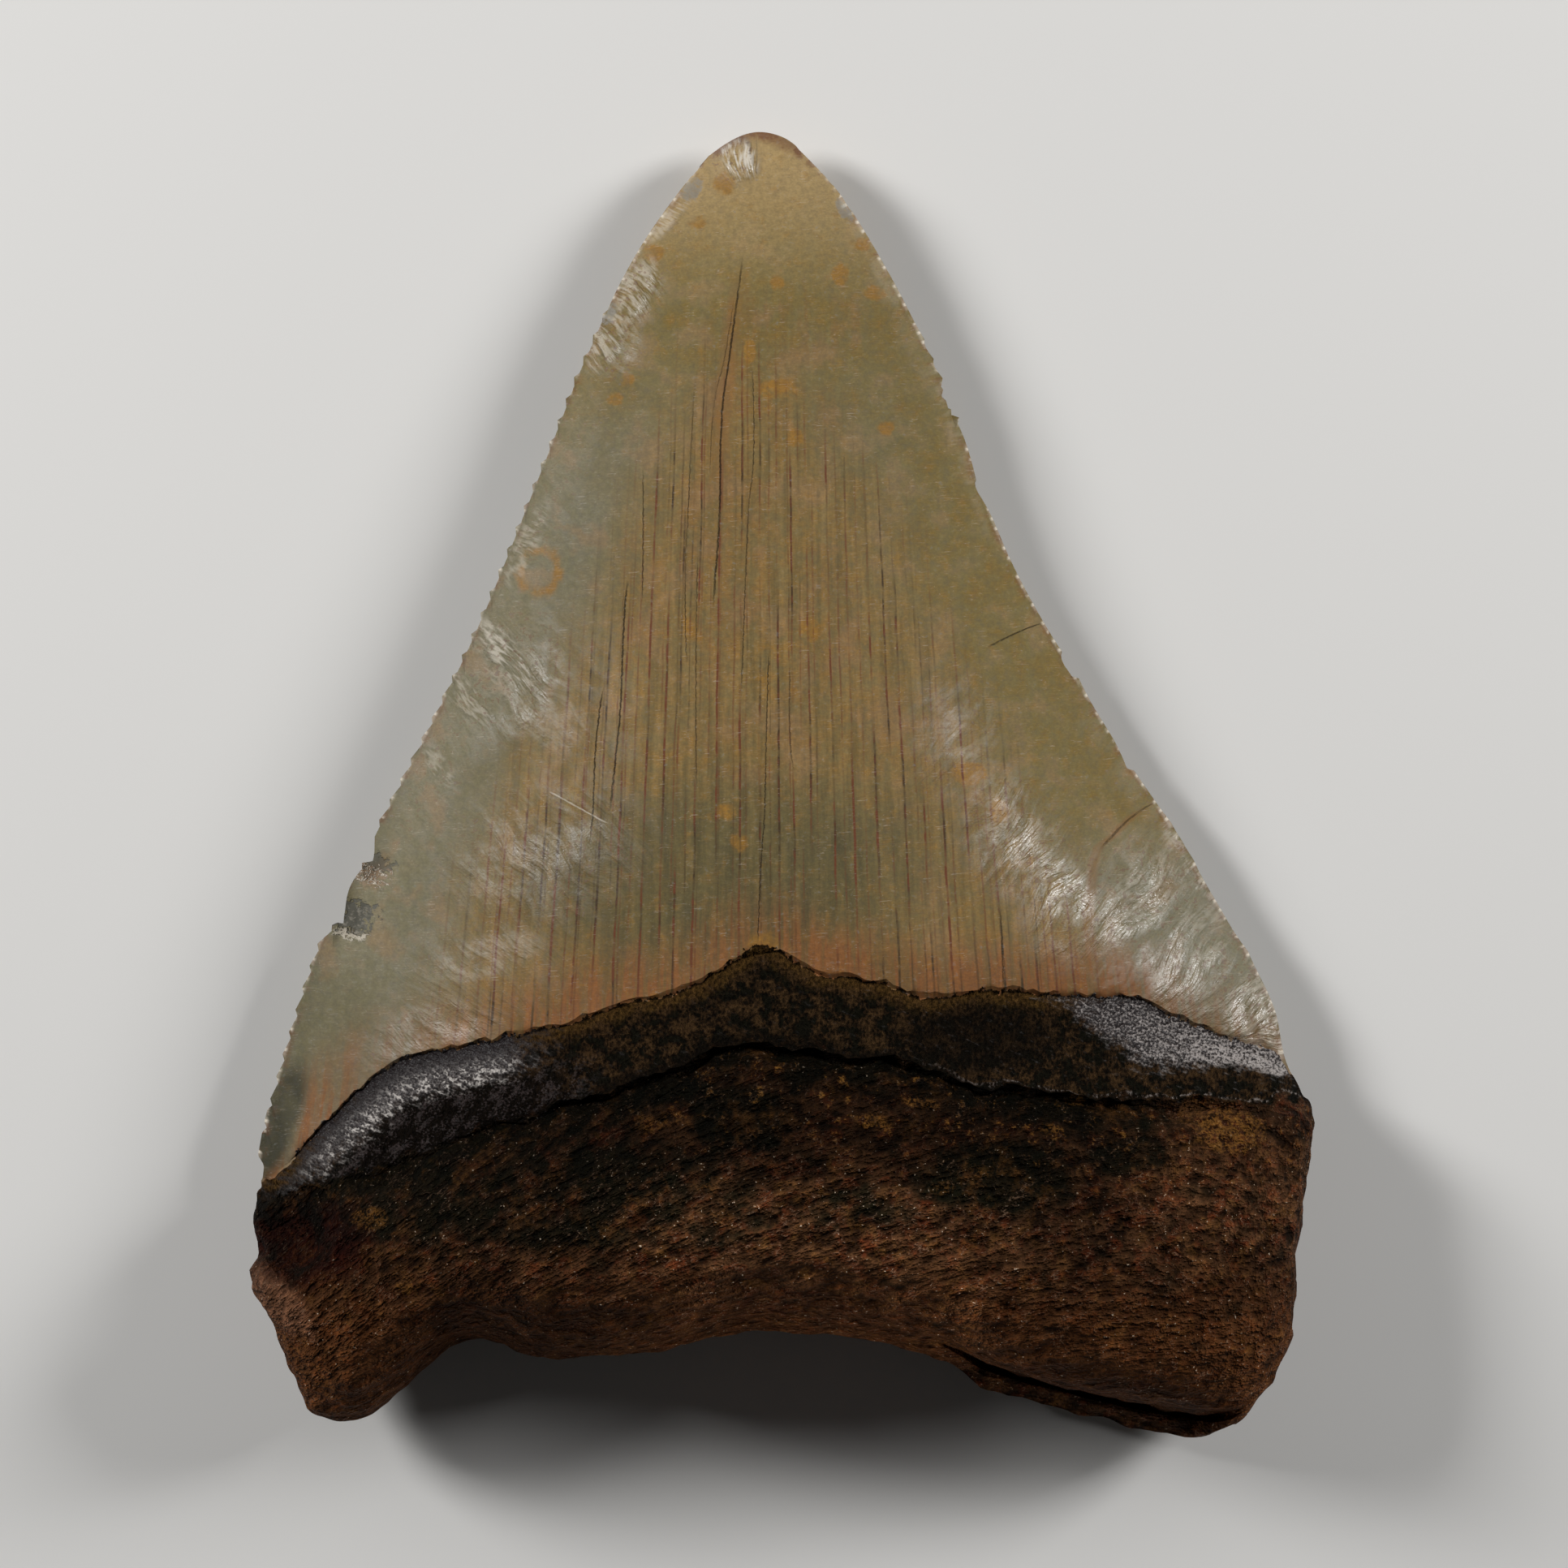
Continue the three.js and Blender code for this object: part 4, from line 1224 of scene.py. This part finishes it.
@dataclass(frozen=True)
class Survey:
    """Where the points of the mesh lie on the tooth, in millimetres."""

    points: np.ndarray
    lingual: np.ndarray  # 0 on the outer face, 1 on the inner face, which is up
    to_enamel: np.ndarray
    to_furrow: np.ndarray
    to_edge: np.ndarray
    along_edge: np.ndarray

    @classmethod
    def of(cls, points: np.ndarray) -> "Survey":
        """Surveys points.

        Args:
            points: the points in millimetres, one to a row.

        Returns:
            The survey.
        """
        flat = points[:, :2]
        (to_left, along_left), (to_right, along_right) = LEFT_EDGE.measure(flat), RIGHT_EDGE.measure(flat)
        on_left = np.abs(to_left) < np.abs(to_right)
        return cls(
            points=points,
            lingual=ramp(points[:, 2] - read(RIM_HEIGHTS, points[:, 1]), -0.25, 0.25),
            to_enamel=ENAMEL_LINE.distance(flat),
            to_furrow=FURROW.distance(flat),
            to_edge=np.minimum(np.abs(to_left), np.abs(to_right)),
            along_edge=np.where(on_left, along_left.max() - along_left, along_right),
        )

    @property
    def above_enamel(self) -> np.ndarray:
        """Returns how far points lie above the enamel's edge, which is the furrow on the outer face."""
        return np.where(self.lingual > 0.5, self.to_enamel, self.to_furrow)

    def shared_values(self) -> dict[str, np.ndarray]:
        """Measures what more than one finish reads.

        Returns:
            A value for each point, under the name of its attribute.
        """
        # painted shade under the band's lower edge, joined to the dark places
        shade_under_furrow = ramp(self.to_furrow, -4.0, -0.5) * ramp(self.to_furrow, 0.3, 0.0)
        shade_under_furrow *= ramp(self.points[:, 0], 30.0, 24.0)
        return {
            "above_enamel_line": self.above_enamel,
            "above_furrow": self.to_furrow,
            "lingual": self.lingual,
            "stain": covered(STAINS, self.points),
            "dark": np.maximum(covered(DARK, self.points), shade_under_furrow) * self.lingual,
        }

    def enamel_values(self) -> dict[str, np.ndarray]:
        """Measures what the enamel's finish reads.

        Returns:
            A value for each point, under the name of its attribute.
        """
        points, lingual = self.points, self.lingual
        x, y, _ = points.T
        levels, left, right = zip(*MIDDLE)
        uneven = 1.6 * grain(points, (3.0, 8.0, 3.0), 41.0)
        middle = ramp(x + uneven - np.interp(y, levels, left), -3.0, 5.0)
        middle *= ramp(np.interp(y, levels, right) - x + uneven, -3.0, 4.0)
        middle *= ramp(y, 36.0, 29.0)
        beside = np.maximum(ramp(x, 12.0, 0.0), ramp(y, -1.0, -9.0))
        return {
            "from_edge": self.to_edge,
            "along_edge": self.along_edge,
            "battered": covered(BATTERED, points) * ramp(self.to_enamel, -0.5, 0.5),
            # small places painted as glints
            "glint_spot": covered(GLINT_SPOTS, points) * lingual,
            "nicked": covered(NICKS, points) * lingual,
            # glossier places that also carry painted highlights
            "glint": covered(GLINTS, points) * lingual,
            "smudged": covered(SMUDGES, points) * lingual,
            "warm": middle * lingual,
            "crazed": middle,
            "margin": (1.0 - middle) * ramp(y, 34.0, 20.0) * beside,
            # lighter towards the tip: painted light from above
            "pale": 0.85 * ramp(y, 34.0, 46.0),
            "cool": covered(COOL, points),
            # green-grey foot at the left end, partly painted shade
            "shaded_green_foot": SHADED_GREEN_FOOT.cover(points),
            "footing": read(FOOTING, x),
        }

    def band_values(self) -> dict[str, np.ndarray]:
        """Measures what the band's finish reads.

        Returns:
            A value for each point, under the name of its attribute.
        """
        x, below = self.points[:, 0], -self.to_enamel
        depth = below / read(GLOSS_WIDTH, x)
        lit = np.where(x < 0.0, ramp(below, 0.3, 2.4), 0.4 + 0.6 * ramp(below, 0.0, 1.2))
        left = ramp(x, -37.0, -31.0) * ramp(x, -17.0, -22.0)
        return {
            "gloss": read(GLOSS, x) * ramp(depth, 1.35, 0.6),
            # how strong the painted sheen is
            "bright": read(BRIGHT, x) * lit,
            # where the sparkles are painted
            "sparkling": left * ramp(depth, 0.3, 0.7) * ramp(depth, 1.3, 0.95),
            "wrinkled": ramp(x, -12.0, -19.0) * ramp(below, 2.0, 3.4),
            # where the ledge's rim is painted with a highlight
            "ledge": ramp(x, 6.0, 16.0),
            # painted shade in the middle of the furrow
            "furrow_shade": ramp(self.to_furrow, 0.9, 0.2) * ramp(x, 16.0, 6.0) * ramp(x, -18.0, -12.0),
        }

    def root_values(self) -> dict[str, np.ndarray]:
        """Measures what the root's finish reads.

        Returns:
            A value for each point, under the name of its attribute.
        """
        x, y, _ = self.points.T
        # lighter towards the top right: painted light on the side that faces the right lamp
        corner = 1.0 + 1.55 * ramp(x, 22.0, 30.0) * ramp(y, -37.0, -29.0)
        middle = 1.0 + 1.65 * ramp(np.abs(x - 2.0), 19.0, 5.0) * ramp(y, -26.0, -31.0)
        shade = 1.0 - 0.55 * HOLLOW_SHADE.cover(self.points)
        below_furrow = ramp(self.to_furrow, -9.0, -3.0) * ramp(self.to_furrow, -0.4, -1.4)
        return {
            "level": read(LEVELS, y) * corner * shade * middle,
            # lighter and tanner towards the base: painted light where the lamps reach it less
            "low": ramp(y, -33.0, -41.0) * self.lingual,
            "golden": below_furrow * ramp(x, -14.0, 0.0) * self.lingual,
            "ridge": RIDGE.cover(self.points),
            "reddish": HOLLOW.cover(self.points),
        }


@dataclass
class Fossil:
    """The visible mesh of the tooth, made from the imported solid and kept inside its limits."""

    limits: tuple[Vector, Vector]
    node: str = "tooth"
    name: str = "fossil_tooth"
    merge_mm: float = 0.002
    sharp_degrees: float = 35.0
    near_furrow: float = 1.6  # how near to the furrow's line its own sharp edges lie
    furrow_fades: float = -16.0  # x of the place left of which the furrow is soft
    flake_corner: Place = (10.0, -40.0)  # the flake lies right of and below this place
    blunting: int = 12
    serrated: float = 0.8  # how far in the serrations reach, and how high they lie at most
    rim_top: float = 6.0
    levels: int = 2
    smooth_degrees: float = 38.0
    foot_mm: float = 1.2  # under this height the relief fades out, so that the flats stay flat
    ridge_mm: float = 0.5
    scoops: tuple[Scoop, ...] = (
        Scoop(at=(-30.2, -6.2), radii=(1.7, 1.2), depth=0.55, turn=-22.0),
        Scoop(at=(-32.0, -9.9), radii=(1.8, 1.4), depth=0.6, turn=-20.0),
        Scoop(at=(-6.6, 43.9), radii=(0.7, 0.9), depth=0.3, turn=-38.0),
        Scoop(at=(4.4, 42.5), radii=(0.6, 0.9), depth=0.3, turn=30.0),
        Scoop(at=(-36.4, -33.8), radii=(3.8, 2.0), depth=0.9, turn=8.0),
        Scoop(at=(32.9, -35.0), radii=(0.9, 0.6), depth=0.5),
        Scoop(at=(25.2, -35.6), radii=(0.8, 0.6), depth=0.5),
        Scoop(at=(16.0, -37.9), radii=(1.0, 0.6), depth=0.5),
        Scoop(at=(27.8, -34.1), radii=(2.2, 0.5), depth=0.5, turn=-39.0),
    )
    body: bpy.types.Object = field(init=False)

    def build(self) -> bpy.types.Object:
        """Makes the mesh.

        Returns:
            The object.
        """
        self.copy_solid()
        self.crease_ledges()
        self.blunt_outline()
        self.subdivide()
        self.weather()
        self.smooth()
        return self.body

    def points(self) -> np.ndarray:
        """Reads the mesh's points.

        Returns:
            The points in millimetres, one to a row.
        """
        flat = np.empty(len(self.body.data.vertices) * 3)
        self.body.data.vertices.foreach_get("co", flat)
        return flat.reshape(-1, 3) / MM

    def move_to(self, points: np.ndarray) -> None:
        """Moves the mesh's points to places given in millimetres."""
        self.body.data.vertices.foreach_set("co", (points * MM).ravel())
        self.body.data.update()

    def copy_solid(self) -> None:
        """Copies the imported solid, and merges its loose triangles into quads."""
        bpy.ops.object.select_all(action="DESELECT")
        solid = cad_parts[self.node]
        solid.select_set(True)
        bpy.context.view_layer.objects.active = solid
        bpy.ops.object.duplicate()
        self.body = bpy.context.view_layer.objects.active
        self.body.name = self.body.data.name = self.name
        bpy.ops.object.mode_set(mode="EDIT")
        bpy.ops.mesh.select_all(action="SELECT")
        bpy.ops.mesh.remove_doubles(threshold=self.merge_mm * MM)
        bpy.ops.mesh.customdata_custom_splitnormals_clear()
        bpy.ops.mesh.tris_convert_to_quads(face_threshold=1.2, shape_threshold=1.2)
        bpy.ops.object.mode_set(mode="OBJECT")

    def crease_ledges(self) -> None:
        """Keeps the cutting edges, the enamel's lip, the furrow and the flake sharp when subdivided."""
        bpy.ops.object.mode_set(mode="EDIT")
        bpy.ops.mesh.select_mode(type="EDGE")
        bpy.ops.mesh.select_all(action="DESELECT")
        bpy.ops.mesh.edges_select_sharp(sharpness=math.radians(self.sharp_degrees))
        bpy.ops.object.mode_set(mode="OBJECT")
        points = self.points()
        to_furrow = FURROW.distance(points[:, :2])
        right, below = self.flake_corner
        for edge in self.body.data.edges:
            if edge.select:
                first, last = edge.vertices
                x, y, _ = points[first]
                on_root = max(to_furrow[first], to_furrow[last]) < -self.near_furrow
                on_flake = min(x, points[last, 0]) > right and y < below
                in_furrow = abs(to_furrow[first]) < self.near_furrow and x < self.furrow_fades
                edge.select = bool(on_flake or not (on_root or in_furrow))
        bpy.ops.object.mode_set(mode="EDIT")
        bpy.ops.transform.edge_crease(value=1.0)
        bpy.ops.mesh.select_mode(type="VERT")
        bpy.ops.object.mode_set(mode="OBJECT")

    def blunt_outline(self) -> None:
        """Takes the points of the serrations back, most where the tooth is most worn."""
        points = self.points()
        mesh = self.body.data
        painted_fold_light = mesh.attributes["crease_edge"].data
        near = {}
        for edge in mesh.edges:
            if painted_fold_light[edge.index].value > 0.5:
                first, last = edge.vertices
                near.setdefault(first, []).append(last)
                near.setdefault(last, []).append(first)
        flat = points[:, :2]
        to_edge = np.minimum(np.abs(LEFT_EDGE.distance(flat)), np.abs(RIGHT_EDGE.distance(flat)))
        worn = [
            (index, others) for index, others in near.items()
            if len(others) == 2 and to_edge[index] < self.serrated and points[index, 2] < self.rim_top
        ]
        for _ in range(self.blunting):
            blunted = points.copy()
            for index, others in worn:
                middle = (points[others[0]] + points[others[1]]) / 2.0
                blunted[index] += 0.5 * (middle - points[index])
            points = blunted
        self.move_to(points)

    def subdivide(self) -> None:
        """Rounds the mesh by subdivision."""
        modifier = self.body.modifiers.new("Rounding", "SUBSURF")
        modifier.levels = modifier.render_levels = self.levels
        modifier.boundary_smooth = "PRESERVE_CORNERS"
        bpy.ops.object.modifier_apply(modifier=modifier.name)

    def weather(self) -> None:
        """Stores what the finishes need to know about each point, and carves the fine relief."""
        survey = Survey.of(self.points())
        for values in (survey.shared_values(), survey.enamel_values(), survey.band_values(),
                       survey.root_values()):
            for label, amounts in values.items():
                layer = self.body.data.attributes.new(label, "FLOAT", "POINT")
                layer.data.foreach_set("value", amounts.astype(np.float32))
        low, high = (np.array(corner) / MM for corner in self.limits)
        self.move_to(np.clip(self.torn(survey, self.carved(survey)), low, high))

    def carved(self, survey: Survey) -> np.ndarray:
        """Moves points along their normals by the relief of each part, and into the hollows.

        Args:
            survey: where the points lie on the tooth.

        Returns:
            Their new places.
        """
        enamel = ramp(survey.above_enamel, -0.05, 0.05)
        root = 1.0 - ramp(survey.to_furrow, -0.6, 0.1)
        relief = root * self.root_relief(survey.points)
        relief += (1.0 - enamel) * (1.0 - root) * self.band_relief(survey)
        relief += enamel * self.enamel_relief(survey)
        for scoop in self.scoops:
            relief -= scoop.depths(survey.points) * survey.lingual
        relief += self.ridge_mm * RIDGE.cover(survey.points) * survey.lingual
        relief *= ramp(survey.points[:, 2], 0.0, self.foot_mm)
        normals = np.empty(len(survey.points) * 3)
        self.body.data.vertices.foreach_get("normal", normals)
        return survey.points + normals.reshape(-1, 3) * relief[:, None]

    def torn(self, survey: Survey, points: np.ndarray) -> np.ndarray:
        """Returns points with a ragged edge of the enamel and an uneven furrow, seen from above.

        Args:
            survey: where the points lay before they were carved.
            points: where they lie now.

        Returns:
            Their new places.
        """
        at_enamel = ramp(np.abs(survey.above_enamel), 1.6, 0.2) * survey.lingual
        points[:, 1] += (0.28 * grain(points, 1.3, 3.0) + 0.24 * grain(points, 0.6, 4.0)) * at_enamel
        at_furrow = ramp(np.abs(survey.to_furrow), 2.0, 0.6) * survey.lingual
        at_furrow *= ramp(survey.to_edge, 0.0, 3.0)
        points[:, 1] += (0.6 * grain(points, 2.6, 5.0) + 0.4 * grain(points, 0.9, 6.0)) * at_furrow
        return points

    def root_relief(self, points: np.ndarray) -> np.ndarray:
        """Gives the lumps and the stringy grain of the root.

        Args:
            points: the points in millimetres, one to a row.

        Returns:
            The height of the relief at each point.
        """
        lumps = 0.3 * grain(points, 5.0, 11.0) + 0.22 * grain(points, 2.0, 12.0)
        strings = 0.18 * grain(points, (2.6, 0.9, 1.2), 13.0, turn=18.0)
        return lumps + strings + 0.07 * grain(points, 0.8, 14.0)

    def band_relief(self, survey: Survey) -> np.ndarray:
        """Gives the unevenness of the band, rough in the middle and wrinkled on the left.

        Args:
            survey: where the points lie on the tooth.

        Returns:
            The height of the relief at each point.
        """
        points, x = survey.points, survey.points[:, 0]
        wrinkles = 0.24 * grain(points, (2.4, 0.8, 1.5), 21.0, turn=58.0)
        wrinkles *= ramp(x, -16.0, -22.0) * ramp(-survey.to_enamel, 1.6, 3.4)
        rough = 0.16 * grain(points, 1.4, 22.0) + 0.08 * grain(points, 0.7, 23.0)
        return 0.05 * grain(points, 3.0, 24.0) + wrinkles + ramp(np.abs(x + 1.0), 22.0, 14.0) * rough

    def enamel_relief(self, survey: Survey) -> np.ndarray:
        """Gives the faint waves of the enamel, and the ripples that sweep in from its cutting edges.

        Args:
            survey: where the points lie on the tooth.

        Returns:
            The height of the relief at each point.
        """
        points, to_edge = survey.points, survey.to_edge
        waves = 0.10 * grain(points, 9.0, 31.0) + 0.035 * grain(points, 3.2, 32.0)
        swept = survey.along_edge - 0.3 * to_edge + 0.8 * grain(points, 5.0, 34.0)
        ripples = 0.08 * grain(np.column_stack((swept, to_edge, 0.0 * to_edge)), (1.5, 4.5, 1.0), 33.0, 2)
        return waves + ramp(to_edge, 14.0, 6.0) * ramp(to_edge, 0.2, 1.2) * ripples

    def smooth(self) -> None:
        """Shades the mesh smoothly, apart from its sharp ledges."""
        bpy.ops.object.shade_smooth_by_angle(angle=math.radians(self.smooth_degrees))


@dataclass(frozen=True)
class Lamp:
    """A soft lamp that points at the tooth, with its sizes in metres."""

    name: str
    at: tuple[float, float, float]
    watts: float
    width: float = 0.15
    height: float = 0.2

    def hang(self) -> None:
        """Hangs the lamp."""
        lamp = bpy.data.lights.new(self.name, "AREA")
        lamp.shape = "RECTANGLE"
        lamp.size, lamp.size_y, lamp.energy = self.width, self.height, self.watts
        holder = bpy.data.objects.new(self.name, lamp)
        holder.location = self.at
        holder.rotation_euler = Vector(self.at).to_track_quat("Z", "Y").to_euler()
        bpy.context.collection.objects.link(holder)


@dataclass
class Studio:
    """The plain pale floor, the soft light and the camera, which looks straight down."""

    frame_mm: float = 115.92  # the width of the picture at the height of the tooth's outline
    outline_mm: float = 4.0
    lens_mm: float = 200.0
    sensor_mm: float = 36.0
    floor_m: float = 6.0
    floor_colour: Colour = (0.72, 0.71, 0.69)
    floor_roughness: float = 0.8
    horizon: tuple[float, Colour] = (0.05, (0.22, 0.22, 0.215))
    overhead: tuple[float, Colour] = (0.4, (0.02, 0.02, 0.02))
    lamps: tuple[Lamp, ...] = (
        Lamp("lamp_left", at=(-0.46, 0.22, 0.32), watts=3.2),
        Lamp("lamp_right", at=(0.48, 0.20, 0.30), watts=2.8),
    )

    def build(self) -> None:
        """Makes the floor, the lamps, the surroundings and the camera."""
        self.lay_floor()
        for lamp in self.lamps:
            lamp.hang()
        self.light_surroundings()
        self.place_camera()

    def lay_floor(self) -> None:
        """Lays the pale floor."""
        bpy.ops.mesh.primitive_plane_add(size=self.floor_m)
        floor = bpy.context.object
        floor.name = "floor"
        material = bpy.data.materials.new("pale_floor")
        material.use_nodes = True
        shader = material.node_tree.nodes["Principled BSDF"]
        shader.inputs["Base Color"].default_value = (*self.floor_colour, 1.0)
        shader.inputs["Roughness"].default_value = self.floor_roughness
        floor.data.materials.append(material)
        floor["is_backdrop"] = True

    def light_surroundings(self) -> None:
        """Lights the surroundings, pale at the horizon and dim overhead."""
        world = bpy.data.worlds.new("studio")
        bpy.context.scene.world = world
        world.use_nodes = True
        nodes, links = world.node_tree.nodes, world.node_tree.links
        where = nodes.new("ShaderNodeTexCoord")
        split = nodes.new("ShaderNodeSeparateXYZ")
        shade = nodes.new("ShaderNodeValToRGB")
        links.new(where.outputs["Generated"], split.inputs[0])
        links.new(split.outputs["Z"], shade.inputs[0])
        links.new(shade.outputs["Color"], nodes["Background"].inputs["Color"])
        for stop, (height, colour) in zip(shade.color_ramp.elements, (self.horizon, self.overhead)):
            stop.position, stop.color = height, (*colour, 1.0)

    def place_camera(self) -> None:
        """Places the camera over the tooth, so that its outline is as large as in the photo."""
        camera = bpy.data.cameras.new("camera")
        camera.lens, camera.sensor_width = self.lens_mm, self.sensor_mm
        holder = bpy.data.objects.new("camera", camera)
        distance = self.frame_mm * self.lens_mm / self.sensor_mm
        holder.location = (0.0, 0.0, (distance + self.outline_mm) * MM)
        bpy.context.collection.objects.link(holder)
        bpy.context.scene.camera = holder


def main() -> None:
    """Builds the tooth and its surroundings."""
    logging.basicConfig(level=logging.INFO, format="%(message)s")
    cad_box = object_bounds()
    Studio().build()
    body = Fossil(limits=cad_box).build()
    body.data.materials.clear()
    body.data.materials.append(FossilFinish().material())
    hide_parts("tooth")
    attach(body, "root")
    LOG.info("%s: %d faces", body.name, len(body.data.polygons))
    bpy.context.scene.view_settings.view_transform = "Standard"


if __name__ == "__main__":
    main()
